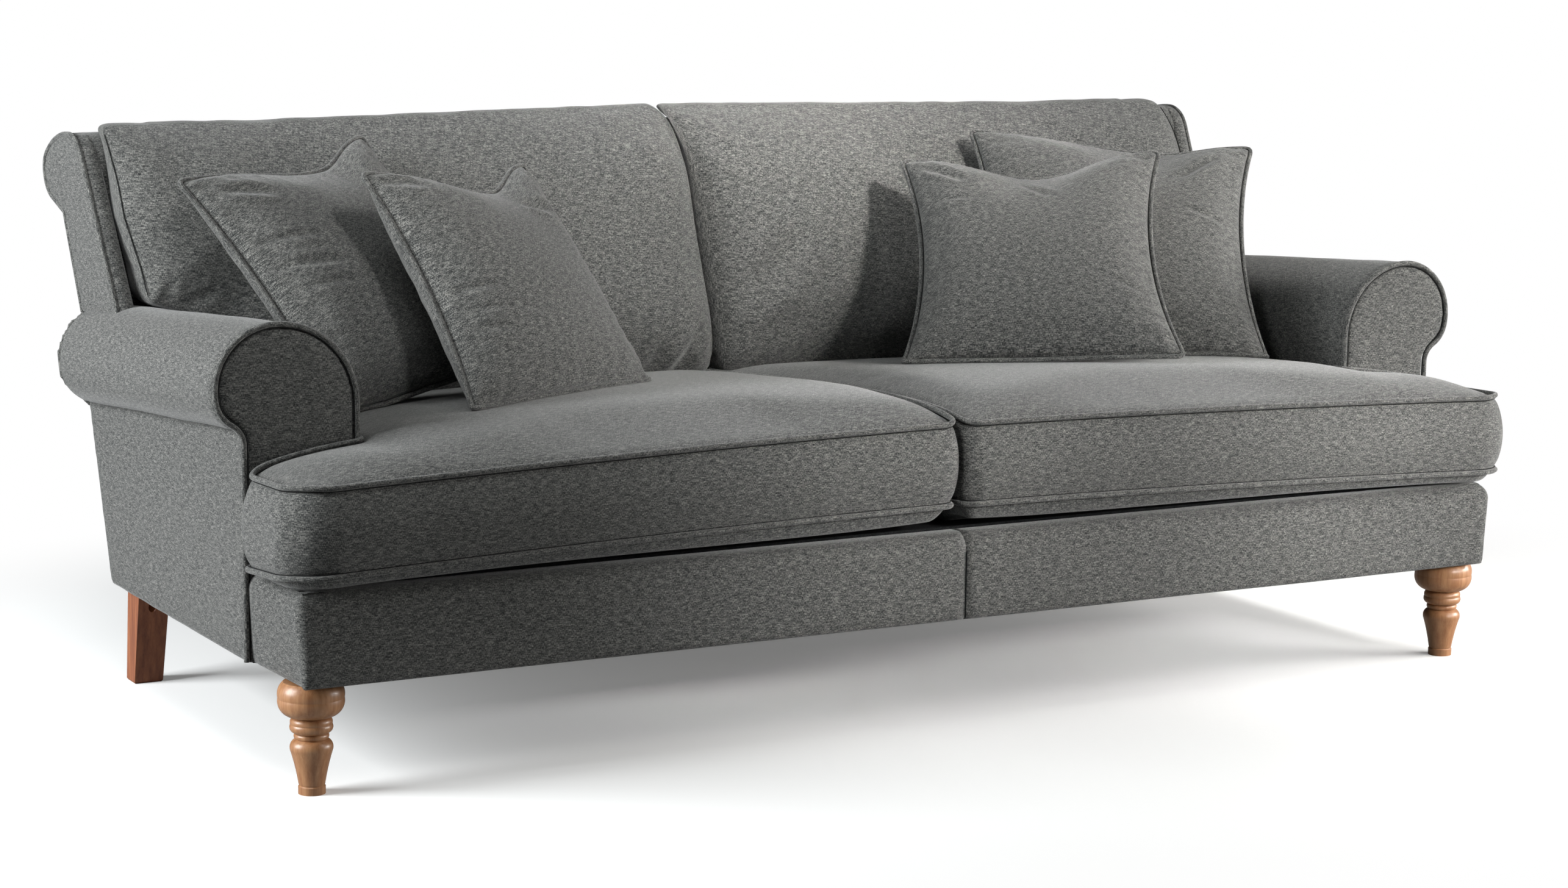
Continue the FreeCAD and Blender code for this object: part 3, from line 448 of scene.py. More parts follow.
def arm_scroll(side):
    """One section of tangent arcs, sheared down towards the back, with both ends rolled in."""
    foot = base_top + 0.002
    start = arm_front + 0.0065
    steps = [(0.0, 0.007), (0.0015, 0.003), (0.006, 0.0)]
    steps += [(0.006 + (0.955 - 0.006) * k / 46, 0.0) for k in range(1, 47)]
    steps += [(0.972, 0.0015), (0.985, 0.005), (0.995, 0.011), (1.0, 0.018)]

    def set_point(corner, share):
        x, z = corner
        # the far end follows the raked back, at the height to which the slope brings each point
        slope = arm_slope if z > foot + 0.01 else 0.0
        end = (outer_back(z + slope * arm_front) - 0.0103) / (1 + outer_lean * slope)
        depth = start + (end - start) * share
        return (side * x, y_at(depth), z - slope * (depth - arm_front)), depth

    stations = [(arm_section(inset, foot) + arm_section(0.024, foot)[::-1], share) for share, inset in steps]
    mesh = sleeve("arm_scroll", stations, set_point)
    swell(mesh, ripple(points_of(mesh), 0.16, 3 + side) * 0.0012)
    return mesh


def facing_outline(inset, foot):
    """The front view of an arm, as a closed outline."""
    out = arm_section(inset, foot)[:-11]
    out += arc((under_x, under_z), under_r - inset, under_turn, math.radians(-60), 10)
    neck_x = half_width + 0.005 - inset
    turn = (out[-1][0] - neck_x) / (1 - math.cos(math.radians(60)))
    centre = (neck_x + turn, out[-1][1] - turn * math.sin(math.radians(60)))
    return out + arc(centre, turn, math.radians(120), math.radians(180), 8)[1:] + [(neck_x, foot)]


def fold_z(depth):
    """Height of the fold under the scroll at a depth."""
    return 0.5095 - arm_slope * (depth - arm_front)


for side, word in ((-1, "left"), (1, "right")):
    piece("arm_scroll_" + word, arm_scroll(side), ("arm_scroll_pad_" + word,))
    padded_panel("arm_facing_pad_" + word, facing_outline(0.0078, base_top - 0.003), 0.006,
                 lambda u, v, w: (side * u, y_at(arm_front + 0.008) - w, v),
                 0.0028, 0.005, 5 + side, ("arm_facing_" + word,))
    # The welt is the piping; the groove is a thin near-black cord just inside it, painted shade where the facing
    # tucks under the piping.
    for label, inset, depth, radius, cloth, stands_for in (
            ("welt", 0.0030, 0.0030, 0.0044, grey_weave, ("arm_facing_piping_" + word,)),
            ("groove", 0.0078, 0.0022, 0.0012, painted_shade_weave, ())):
        ring = [(side * x, y_at(arm_front + depth), max(z, base_top + 0.003) if x < inner_x + 0.1 else z)
                for x, z in facing_outline(inset, base_bottom + 0.004)]
        tube("arm_%s_%s" % (label, word), ring, 0.004, radius, stands_for, cloth=cloth, closed=False)

    def far_space(u, v, w):
        depth = (outer_back(v + arm_slope * arm_front) - 0.0155) / (1 + outer_lean * arm_slope)
        return side * u, y_at(depth + w), v - arm_slope * (depth - arm_front)

    padded_panel("arm_end_" + word, facing_outline(0.0030, 0.500), 0.007, far_space, 0.001, 0.006, 61 + side)
    near, rear_low, rear_high = arm_front + 0.004, outer_back(base_bottom) - 0.005, outer_back(0.458) - 0.005
    outside = [(near, base_bottom), (rear_low, base_bottom), (rear_high, fold_z(rear_high) + 0.012),
               (near, fold_z(arm_front) + 0.012)]
    padded_panel("arm_side_" + word, outside, 0.010,
                 lambda u, v, w: (side * (half_width - 0.012 + w), y_at(u), v),
                 0.004, 0.008, 9 + side, ("arm_side_panel_" + word,), 0.0012)

# ------------------------------------------------------------------ padded base
# The weave over thin padding, wrapped under and over the front rail, with a return to each arm.
# It is two pieces, sewn together right of the middle.
base_seam_x = (base_high.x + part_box("base_cover_right")[0].x) / 2
base_height = base_top - base_bottom


def base_path(side):
    """Plan path of one half, from the arm round the corner to the seam, with its inward normals."""
    corner, rear = 0.016, arm_front + 0.0005
    points = [((side * half_width, rear + (corner - rear) * k / 16), (-side, 0)) for k in range(16)]
    for k in range(9):
        angle = math.pi / 2 * k / 8
        points.append(((side * (half_width - corner + corner * math.cos(angle)),
                        corner - corner * math.sin(angle)), (-side * math.cos(angle), math.sin(angle))))
    start, end = side * (half_width - corner), base_seam_x + side * 0.0008
    count = int(abs(start - end) / 0.012)
    return points + [((start + (end - start) * k / count, 0.0), (0, 1)) for k in range(1, count + 1)]


def base_half(side):
    """Sweeps the wrapped section along the plan; both halves tuck in at the seam."""
    edge = 0.028
    section = [(0.020, base_bottom + 0.003), (0.008, base_bottom + 0.0008), (0.003, base_bottom + 0.003),
               (0.0008, base_bottom + 0.010)]
    section += [(0.0, base_bottom + 0.018 + (0.090 - 0.018) * k / 9) for k in range(1, 10)]
    section += [(edge * (1 - math.cos(angle)), base_top - edge + edge * math.sin(angle))
                for angle in (math.pi / 2 * k / 12 for k in range(1, 13))]
    section += [(0.045, base_top - 0.0005), (0.058, base_top - 0.003), (0.058, base_top - 0.012),
                (0.020, base_top - 0.014), (0.0185, base_bottom + 0.005)]
    path = base_path(side)
    tucks = [0.0] * (len(path) - 2) + [0.0004, 0.0018]
    stations, travelled, last = [], 0.0, path[0][0]
    for (spot, normal), tuck in zip(path, tucks):
        travelled += math.dist(last, spot)
        last = spot
        stations.append((section, (spot, normal, tuck, travelled)))

    def set_point(corner, station):
        (inward, z), ((x, depth), (nx, ny), tuck, along) = corner, station
        if inward < 0.018:
            # the ends lean in towards the bottom
            lean = 0.013 * (base_top - z) / base_height * (1 - 0.5 * depth / arm_front)
            inward += tuck + lean * abs(nx)
        return (x + nx * inward, y_at(depth + ny * inward), z), along * -side

    mesh = sleeve("base_half", stations, set_point)
    flat = points_of(mesh)
    soft = ripple(flat, 0.30, 21) * 0.0016 + ripple(flat, 0.09, 22) * 0.0005
    seam = np.exp(-np.abs(flat[:, 0] - base_seam_x) / 0.05)
    front = flat[:, 1] < y_at(0.010)
    flat[front, 1] += (soft * (1 - seam))[front] + 0.0004
    place(mesh, flat)
    return mesh


for side, word in ((-1, "left"), (1, "right")):
    piece("base_pad_" + word, base_half(side), ("base_cover_" + word,))
# A thin near-black cord down the join paints the shade in the seam between the two halves.
tube("base_seam", [(base_seam_x, y_at(0.0014), base_bottom + 0.006),
                   (base_seam_x, y_at(0.0012), base_top - 0.030)],
     0.01, 0.0011, cloth=painted_shade_weave, closed=False, sides=6)

# ------------------------------------------------------------------ raked scroll back
# Raked posts and shaped end boards carry a stuffed lean that rolls over the top rail.  Each end is
# closed by a piped facing and leans out a little above the arm, and a panel covers the outside.
back_lean = 0.184       # rake of the inside of the back per metre of height
flare = math.radians(3.5)
flare_z = 0.622
wing_x = half_width - 0.006
brow = (0.937, 0.850)
brow_turn = math.radians(62.4)


def inner_back(z):
    """Depth of the inside of the back at a height."""
    return 0.835 + back_lean * (z - base_top)


def turn_arc(start, heading, radius, turn, count):
    """Points along an arc that curls down from a point, and its last heading."""
    out = []
    for k in range(1, count + 1):
        here = heading - turn * k / count
        out.append((start[0] + radius * (math.sin(heading) - math.sin(here)),
                    start[1] + radius * (math.cos(here) - math.cos(heading))))
    return out, heading - turn


def back_outline(foot_z):
    """Side view of the back above an arm: up the front, over the roll, down to the arm again."""
    foot = (brow[0] - (brow[1] - foot_z) / math.tan(brow_turn), foot_z)
    over, heading = turn_arc(brow, brow_turn, 0.063, brow_turn, 8)
    top, heading = turn_arc(over[-1], heading, 0.245, math.radians(33), 12)
    tip, heading = turn_arc(top[-1], heading, 0.040, math.radians(129), 16)
    under, fall = tip[-1], math.tan(heading)
    notch_y = (outer_back(under[1]) - outer_lean * fall * under[0]) / (1 - outer_lean * fall)
    notch = (notch_y, under[1] + fall * (notch_y - under[0]))
    heel = (outer_back(foot_z), foot_z)
    return line(foot, brow, 24), over + top + tip, line(under, notch, 6)[1:], line(notch, heel, 14)[1:]


def flared(side, x, z):
    """The x of a point of the back's end, leant outwards above the arm."""
    return side * (wing_x + (x - wing_x) * math.cos(flare) + (z - flare_z) * math.sin(flare))


def wing_at(z):
    """Outer x of the back's stuffing at a height."""
    return 1.0655 + (z - flare_z) * math.sin(flare)


def wing_cover(side):
    """The fabric round the front edge of an end board, from the arm up over the brow."""
    section = [(1.0672, -0.0015), (1.060, -0.004), (1.052, -0.0045), (1.044, -0.002), (1.0395, 0.004),
               (1.0385, 0.012), (1.0385, 0.075), (1.047, 0.075), (1.066, 0.012)]
    path = [(y, z, brow_turn, 1.0) for y, z in wing_front]
    path += [(*wing_roll[k], brow_turn * (1 - (k + 1) / 8), 1 - (k + 1) / 12) for k in range(7)]

    def set_point(corner, station):
        (x, inward), (y, z, heading, proud) = corner, station
        inward = inward * proud if inward < 0 else min(inward, 0.030 if proud < 1 else 0.075)
        return (flared(side, x, z), y_at(y + inward * math.sin(heading)), z - inward * math.cos(heading)), z

    return sleeve("wing", [(section, station) for station in path], set_point, turned=True)


wing_front, wing_roll, wing_under, wing_rear = back_outline(0.592)
notch_z = wing_under[-1][1]
end_outline = wing_front + wing_roll + wing_under + wing_rear
for side, word in ((-1, "left"), (1, "right")):
    tube("back_welt_" + word, [(flared(side, 1.070, z), y_at(y), z) for y, z in end_outline],
         0.004, 0.004, ("back_facing_piping_" + word,), closed=False)
    padded_panel("back_end_" + word, end_outline, 0.007,
                 lambda u, v, w: (flared(side, 1.0645 + w, v), y_at(u), v),
                 0.0022, 0.005, 31 + side, ("back_facing_" + word,))
    piece("back_wing_" + word, wing_cover(side))

# The roll: a stuffed sleeve from the front lean over the top to the notch, from wing to wing.
roll_section = [(inner_back(z), z) for z in (0.745, 0.76, 0.78, 0.80, 0.82, 0.835)] + [brow]
roll_section += wing_roll + wing_under + [(1.03, 0.762), (1.0, 0.80), (0.96, 0.80), (0.94, 0.755)]


def roll_point(corner, share):
    x = share * wing_at(corner[1])
    return (x, y_at(corner[0]), corner[1]), x


roll = sleeve("roll", [(roll_section, -1 + 2 * i / 90) for i in range(91)], roll_point)
swell(roll, 0.0016 + ripple(points_of(roll), 0.22, 41) * 0.0012)
piece("back_roll", roll, ("back_scroll_pad",))

inside_outline = [(0.9035, 0.298), (0.9035, 0.480), (0.965, 0.585), (wing_at(0.60), 0.600),
                  (wing_at(0.75), 0.750)]
inside_outline += [(-x, z) for x, z in inside_outline[::-1]]
padded_panel("back_inside", inside_outline, 0.018, lambda u, v, w: (u, y_at(inner_back(v) + 0.022 - w), v),
             0.004, 0.010, 45, ("back_inside_pad",))
rear_outline = [(half_width - 0.0005, base_bottom), (half_width - 0.0005, 0.590),
                (wing_at(0.592) + 0.003, 0.592), (wing_at(notch_z) + 0.003, notch_z + 0.003)]
rear_outline += [(-x, z) for x, z in rear_outline[::-1]]
padded_panel("back_outside", rear_outline, 0.010, lambda u, v, w: (u, y_at(outer_back(v) - 0.006 + w), v),
             0.002, 0.008, 47, ("back_outside_panel",))


# ------------------------------------------------------------------ seat cushions
# T-shaped cushions, whose fronts spread out before the arms.  Each is a boxed cover, piped above
# and below, full of foam in a feather wrap, so it is crowned and its belly hangs over the base.
deck_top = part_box("seat_deck")[1].z
seat_left, seat_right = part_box("seat_cushion_cover_left"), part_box("seat_cushion_cover_right")
seat_inner = {-1: -seat_left[1].x, 1: seat_right[0].x}
seat_end = seat_right[1].x
seat_back = seat_right[1].y - base_front
seat_nose = 0.022       # how far the front seams stand out before the base
seat_thick = 0.150      # of the flat slab, before it takes its shape
deck_gap = 0.0008


def round_polygon(corners, radii, step=0.006):
    """A closed outline with each corner rounded to its own radius."""
    out = []
    for i, (corner, radius) in enumerate(zip(corners, radii)):
        here = Vector(corner)
        before = (Vector(corners[i - 1]) - here).normalized()
        after = (Vector(corners[(i + 1) % len(corners)]) - here).normalized()
        if radius <= 0:
            out.append(tuple(here))
            continue
        angle = before.angle(after)
        reach = radius / math.tan(angle / 2)
        middle = here + (before + after).normalized() * (radius / math.sin(angle / 2))
        first, last = here + before * reach - middle, here + after * reach - middle
        steps = max(2, int(radius * (math.pi - angle) / step))
        out += [tuple(middle + first.slerp(last, k / steps).normalized() * radius) for k in range(steps + 1)]
    return out


def averaged(mesh, moved, held, rounds):
    """Movements of the vertices, each averaged with its neighbours'; the held ones keep theirs."""
    start = moved.copy()
    edges = np.empty(len(mesh.edges) * 2, dtype=np.int32)
    mesh.edges.foreach_get("vertices", edges)
    one, other = edges.reshape(-1, 2).T
    count = len(moved)
    share = np.bincount(edges, minlength=count)[:, None]
    for _ in range(rounds):
        total = np.stack([np.bincount(one, moved[other, k], count) + np.bincount(other, moved[one, k], count)
                          for k in range(3)], axis=1)
        moved = 0.4 * moved + 0.6 * total / share
        moved[held] = start[held]
    return moved


def settle(mesh, pinned, pressure, cap):
    """Puffs a closed mesh with Cloth under pressure; pinned vertices stay, the rest move at most cap."""
    before = points_of(mesh)
    obj = stand("settling", mesh)
    group = obj.vertex_groups.new(name="seams")
    group.add([int(i) for i in pinned], 1.0, "REPLACE")
    cloth = obj.modifiers.new("cloth", "CLOTH")
    settings = cloth.settings
    settings.use_pressure = True
    settings.uniform_pressure_force = pressure
    settings.mass = 0.3
    settings.tension_stiffness = settings.compression_stiffness = 12
    settings.shear_stiffness = 5
    settings.bending_stiffness = 0.6
    settings.shrink_min = -0.02
    settings.effector_weights.gravity = 0
    settings.vertex_group_mass = "seams"
    settings.pin_stiffness = 5
    cloth.collision_settings.use_collision = False
    last_frame = 16
    cloth.point_cache.frame_start, cloth.point_cache.frame_end = 1, last_frame
    for number in range(1, last_frame + 1):
        scene.frame_set(number)
    graph = bpy.context.evaluated_depsgraph_get()
    puffed = bpy.data.meshes.new_from_object(obj.evaluated_get(graph))
    moved = points_of(puffed) - before
    bpy.data.objects.remove(obj)
    bpy.data.meshes.remove(puffed)
    scene.frame_set(1)
    size = np.linalg.norm(moved, axis=1)
    moved *= np.where(size > cap, cap / np.maximum(size, 1e-9), 1.0)[:, None]
    # the cloth's small buckles are averaged out; the fullness and the soft folds stay
    moved[pinned] = 0
    place(mesh, before + averaged(mesh, moved, pinned, 14))


def soft_piece(name, mesh, node, stands_for):
    """A loose cushion's cover, subdivided once."""
    obj = piece(name, mesh, stands_for, node)
    smooth = obj.modifiers.new("fine", "SUBSURF")
    smooth.levels = smooth.render_levels = 1
    return obj


def boxed_cushion(word, kind, outline, thickness, voxel, shape, limits, grip, pressure, cap):
    """A boxed cushion: an even slab, shaped, puffed between its seams and its resting face, and
    kept within its limits.  grip says how near a seam or how deep underneath the cover is held."""
    node = "%s_cushion_%s" % (kind, word)
    mesh, flat = slab(node, outline, thickness, voxel, 1)
    place(mesh, shape(flat))
    outwards(mesh)
    seam_in, seam_deep, rest_deep, rest_in = grip
    inside, _ = edge_distance(flat[:, :2], outline)
    on_seam = (inside < seam_in) & ((flat[:, 2] < seam_deep) | (flat[:, 2] > thickness - seam_deep))
    resting = (flat[:, 2] < rest_deep) & (inside > rest_in)
    settle(mesh, np.nonzero(on_seam | resting)[0], pressure, cap)
    place(mesh, limits(points_of(mesh)))
    cover = "%s_cushion_cover_%s" % (kind, word)
    core = "%s_cushion_core_%s" % (kind, word)
    return soft_piece(kind + "_" + word, mesh, node, (cover, core))


def seat_seams(u, v):
    """Heights of the top and the bottom seam."""
    out = 0.026 * (np.clip(u, 0, None) / seat_end) ** 1.6
    return 0.482 - out - 0.030 * np.clip(v / seat_back, 0, 1), 0.355 - out - 0.040 * np.clip(v / 0.5, 0, 1)


def seat_drift(depth):
    """How far the meeting line of the two seats drifts to the right, before the back cushions."""
    return 0.0072 * np.clip((0.70 - depth) / 0.15, 0, 1)


def seat_limits(points, side):
    """Keeps a seat cushion clear of the arm, of the deck and of the other cushion."""
    x, y, z = side * points[:, 0], points[:, 1], points[:, 2]
    depth = y - base_front
    furthest = np.where(depth > arm_front - 0.004, inner_x - 0.001, seat_end + 0.006)
    x = np.clip(x, seat_inner[side] + 0.0004 + side * seat_drift(depth), furthest)
    # the belly stops just short of the base's front edge, except at the end
    proud = 0.013 + 0.009 * np.exp(-(x - seat_inner[side]) / 0.12)
    proud = proud * np.clip((0.095 - depth) / 0.035, 0, 1) * (1 - np.exp(-np.clip(seat_end - x, 0, None) / 0.15))
    return np.stack([side * x, y, np.maximum(z, deck_top + deck_gap + proud)], axis=1)


def seat_space(flat, outline, side):
    """Shapes the flat slab: crown, belly and bulging border."""
    u, v, w = flat.T
    inside, outward = edge_distance(flat[:, :2], outline)
    share = np.clip(w / seat_thick, 0, 1)
    top, low = seat_seams(u, v)
    from_front = np.clip(v + seat_nose, 0, None)
    from_end = np.clip(seat_end - 0.009 - u, 0, None)
    from_arm = np.clip(inner_x - 0.006 - u, 0, None)
    behind = np.clip((v - arm_front - 0.02) / 0.10, 0, 1)
    crown = 0.040 * (1 - np.exp(-from_front / 0.075)) * (1 - np.exp(-from_end / 0.110))
    crown *= 1 - 0.45 * behind * np.exp(-from_arm / 0.035)
    crown *= 1 - 0.55 * np.exp(-np.clip(u, 0, None) / 0.050)
    crown *= 1 - 0.88 * np.clip((v - 0.20) / 0.58, 0, 1) ** 1.5
    under = 1 - (1 - np.clip((inside - 0.003) / 0.070, 0, 1)) ** 2
    belly = np.maximum(low + 0.002 - 0.062 * under, deck_top + deck_gap)
    z = belly + (top + crown - belly) * share
    bulge = 0.0135 * np.sin(np.pi * share) ** 0.8 * np.exp(-inside / 0.02)
    x = u + outward[:, 0] * bulge + 0.009 * (1 - share) * np.exp(-from_end / 0.05) * (v < arm_front)
    x = np.maximum(x, seat_inner[side])
    x = x + side * seat_drift(v) * np.exp(-(x - seat_inner[side]) / 0.10)
    y = v + outward[:, 1] * bulge
    y = np.where(u > inner_x, np.minimum(y, arm_front - 0.0045), y)
    return seat_limits(np.stack([side * x, y_at(y), z], axis=1), side)


def seat_cushion(side, word):
    inner, end, arm_x, rear = seat_inner[side] + 0.006, seat_end - 0.009, inner_x - 0.006, seat_back - 0.006
    shoulder = arm_front - 0.012
    outline = round_polygon([(inner, -seat_nose), (end, -seat_nose), (end, shoulder), (arm_x, shoulder),
                             (arm_x, rear), (inner, rear)], [0.022, 0.062, 0.045, 0.018, 0.02, 0.02])
    seat = boxed_cushion(word, "seat", outline, seat_thick, 0.011, lambda flat: seat_space(flat, outline, side),
                         lambda points: seat_limits(points, side), (0.006, 0.008, 0.02, 0.05), 3.0, 0.010)
    fine = np.array(spread(outline, 0.004))
    _, away = edge_distance(fine, outline)
    out = np.column_stack([side * away[:, 0], away[:, 1], np.zeros(len(away))])
    for label, w, up in (("top", seat_thick, 1), ("low", 0.0, -1)):
        loop = seat_space(np.column_stack([fine, np.full(len(fine), w)]), outline, side)
        # Each seam has its piping and, just inside it, a thin near-black cord that paints the shade in the groove
        # beside the piping.
        for kind, reach, rise, radius, cloth, sides in (("welt", 0.0022, 0.0014, 0.0042, grey_weave, 10),
                                                        ("groove", 0.0016, -0.0040, 0.0008, painted_shade_weave, 6)):
            tube("seat_%s_%s_%s" % (kind, label, word), loop + out * reach + np.array([0, 0, rise * up]),
                 0.004, radius, (), "seat_cushion_" + word, cloth, sides=sides)
    return seat


seats = {word: seat_cushion(side, word) for side, word in ((-1, "left"), (1, "right"))}

# ------------------------------------------------------------------ back cushions
# Two boxed feather cushions that lean on the back.  The outer end of each reaches over the arm as
# an ear, the face is puffed and creased, and the top lies over the roll.
left_end, right_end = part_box("back_cushion_cover_left"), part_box("back_cushion_cover_right")
cushion_low, cushion_top = right_end[0].z, right_end[1].z
back_thick, back_crown = 0.100, 0.056
front_seam = np.polyfit((0.439, 0.640, 0.740, 0.839, 0.906), (0.791, 0.805, 0.845, 0.893, 0.962), 4)
rear_heights = (0.30, 0.845, 0.870, 0.882, 0.890, 0.910)
rear_depths = (inner_back(0.30), inner_back(0.845), 0.951, 0.966, 0.984, 0.994)


def arm_surface(x, depth, clear):
    """Height of the arm's top at a place across it."""
    r = inner_r + clear
    across = np.clip(np.abs(x), curl_x - r, None)
    middle = inner_z - arm_slope * (depth - arm_front)
    return middle + np.sqrt(np.clip(r * r - np.clip(curl_x - across, 0, None) ** 2, 0, None))


def crease(points, start, finish, width, depth):
    """Signed height of a soft furrow along a straight line; it dies out at both ends."""
    start, finish = np.array(start, float), np.array(finish, float)
    along = finish - start
    length = np.linalg.norm(along)
    along /= length
    offset = points - start
    t = offset @ along / length
    away = np.linalg.norm(offset - np.outer(offset @ along, along), axis=1)
    fall = np.clip(1 - np.abs(2 * t - 1) ** 2.5, 0, 1)
    groove = np.exp(-(away / width) ** 2)
    ridge = 0.55 * np.exp(-((away - 1.9 * width) / (0.9 * width)) ** 2)
    return -depth * fall * (groove - ridge)


def back_limits(points, inner):
    """Keeps a back cushion on its own side of the split and on top of the arm."""
    x, y, z = points.T
    x = np.minimum(x, left_end[1].x - 0.0003) if inner < left_end[1].x else np.maximum(x, right_end[0].x + 0.0003)
    over_arm = np.abs(x) > inner_x - 0.006
    z = np.where(over_arm, np.maximum(z, arm_surface(x, y - base_front, 0.0015)), z)
    return np.stack([x, y, z], axis=1)


def back_space(flat, outline, creases, inner):
    """Shapes the flat slab: puffed and creased face, rear against the back, top over the roll."""
    u, v, w = flat.T
    near_split = np.clip(1 - np.abs(u - inner) / 1.0, 0, 1)
    inside, outward = edge_distance(flat[:, :2], outline)
    share = np.clip(w / back_thick, 0, 1)
    puff = back_crown * (1 - np.exp(-inside / 0.070))
    for start, finish, width, depth in creases:
        puff = puff + crease(flat[:, :2], start, finish, width, depth)
    high_up = np.clip((v - 0.80) / 0.10, 0, 1)
    top_lean = 0.008 + 0.040 * near_split
    front = np.polyval(front_seam, v) - puff + top_lean * high_up ** 1.5
    rear = np.interp(v, rear_heights, rear_depths) - 0.0015 + top_lean * np.clip((v - 0.887) / 0.010, 0, 1)
    bulge = 0.013 * np.sin(np.pi * share) ** 0.8 * np.exp(-inside / 0.022)
    bulge *= np.where((np.abs(u) > 0.96) | (v < 0.49), 0.35, 1.0)
    x = u + outward[:, 0] * bulge
    z = v + outward[:, 1] * bulge * np.where(v > 0.80, 0.35, 0.8)
    z = z + np.interp(near_split, (0, 0.25, 1), (0, -0.003, 0.006)) * high_up
    return back_limits(np.stack([x, y_at(rear + (front - rear) * share), z], axis=1), inner)


def back_cushion(side, word, inner, ear, creases):
    edge, arm_x = side * ear, side * (inner_x - 0.012)
    low, high = cushion_low - 0.014, cushion_top - 0.007
    corners = [(inner, low), (arm_x, low), (arm_x, 0.50)]
    corners += [(side * x, float(arm_surface(x, 0.80, 0.006))) for x in (0.915, 0.935, 0.960, 0.990, 1.015)]
    corners += [(edge - side * 0.022, 0.628), (edge - side * 0.016, 0.680), (edge, 0.760),
                (edge + side * 0.003, 0.850), (edge + side * 0.001, high),
                (inner - side * 0.007, high + 0.001), (inner, high - 0.030)]
    outline = round_polygon(corners, [0.010, 0.025, 0.02, 0, 0, 0, 0, 0, 0.012, 0, 0, 0, 0.014, 0.003, 0])
    back = boxed_cushion(word, "back", outline, back_thick, 0.008,
                         lambda flat: back_space(flat, outline, creases, inner),
                         lambda points: back_limits(points, inner), (0.005, 0.006, 0.012, 0.02), 2.5, 0.008)
    fine = np.array(spread(outline, 0.004))
    fine = fine[(side * fine[:, 0] > ear - 0.030) & (fine[:, 1] > 0.636) & (fine[:, 1] < high - 0.012)]
    loop = back_space(np.column_stack([fine, np.full(len(fine), back_thick)]), outline, creases, inner)
    # A thin near-black cord along the seam of the ear paints the shade beside it.
    tube("back_seam_" + word, loop, 0.004, 0.0010, (), "back_cushion_" + word, painted_shade_weave, False, 6)
    return back


# Each crease: from (x, z), to (x, z), width and depth.
backs = {
    "left": back_cushion(-1, "left", left_end[1].x - 0.012, -left_end[0].x - 0.002, [
        ((-1.00, 0.625), (-0.980, 0.67), 0.008, 0.004), ((-0.96, 0.625), (-0.91, 0.645), 0.008, 0.003),
        ((-0.10, 0.450), (-0.060, 0.545), 0.013, 0.012), ((-0.15, 0.450), (-0.13, 0.520), 0.014, 0.007),
        ((-0.06, 0.885), (-0.15, 0.845), 0.014, 0.010), ((-0.34, 0.885), (-0.44, 0.820), 0.020, 0.008)]),
    "right": back_cushion(1, "right", right_end[0].x + 0.012, right_end[1].x + 0.008, [
        ((0.04, 0.590), (0.17, 0.700), 0.020, 0.012), ((0.03, 0.500), (0.15, 0.560), 0.022, 0.010),
        ((0.02, 0.865), (0.09, 0.800), 0.014, 0.008)])}


# ------------------------------------------------------------------ scatter cushions
# Two squares of the weave sewn and piped at the edge, filled with feather, gathered at the seam
# and chopped at the top.  Two are propped at each end, each one on what lies behind it.
def keep_clear(points, trees, clear):
    """Moves the points that are inside a neighbour, or too near it, back to its surface."""
    out = np.array(points)
    for _ in range(2):
        for tree in trees:
            for i, point in enumerate(out):
                spot, normal, _, gap = tree.find_nearest(Vector(point), 0.09)
                # a point well beside a neighbour's rim is level with it, but is not inside
                if spot is not None and (gap < clear or (Vector(point) - spot).dot(normal) < -0.5 * gap):
                    out[i] = spot + normal * clear
    return out


def waver(t, size, seed):
    """Smooth noise along a line, between -1 and 1."""
    rng = np.random.default_rng(seed)
    total = np.zeros_like(t)
    for _ in range(5):
        total += np.sin(t * (2 * math.pi / size) * rng.uniform(0.55, 1.6) + rng.uniform(0, 6.28))
    return total / 2.6


def sewn_squares(name):
    """Two square sheets sewn at the rim: x and z run from -1 to 1, and y tells the sheets apart."""
    bm = bmesh.new()
    for layer in (-1, 1):
        for vert in bmesh.ops.create_grid(bm, x_segments=76, y_segments=76, size=1)["verts"]:
            a, b, _ = vert.co
            vert.co = (a, layer if max(abs(a), abs(b)) < 0.999 else 0, b)
    bmesh.ops.remove_doubles(bm, verts=bm.verts, dist=1e-5)
    return finish_mesh(bm, bpy.data.meshes.new(name))


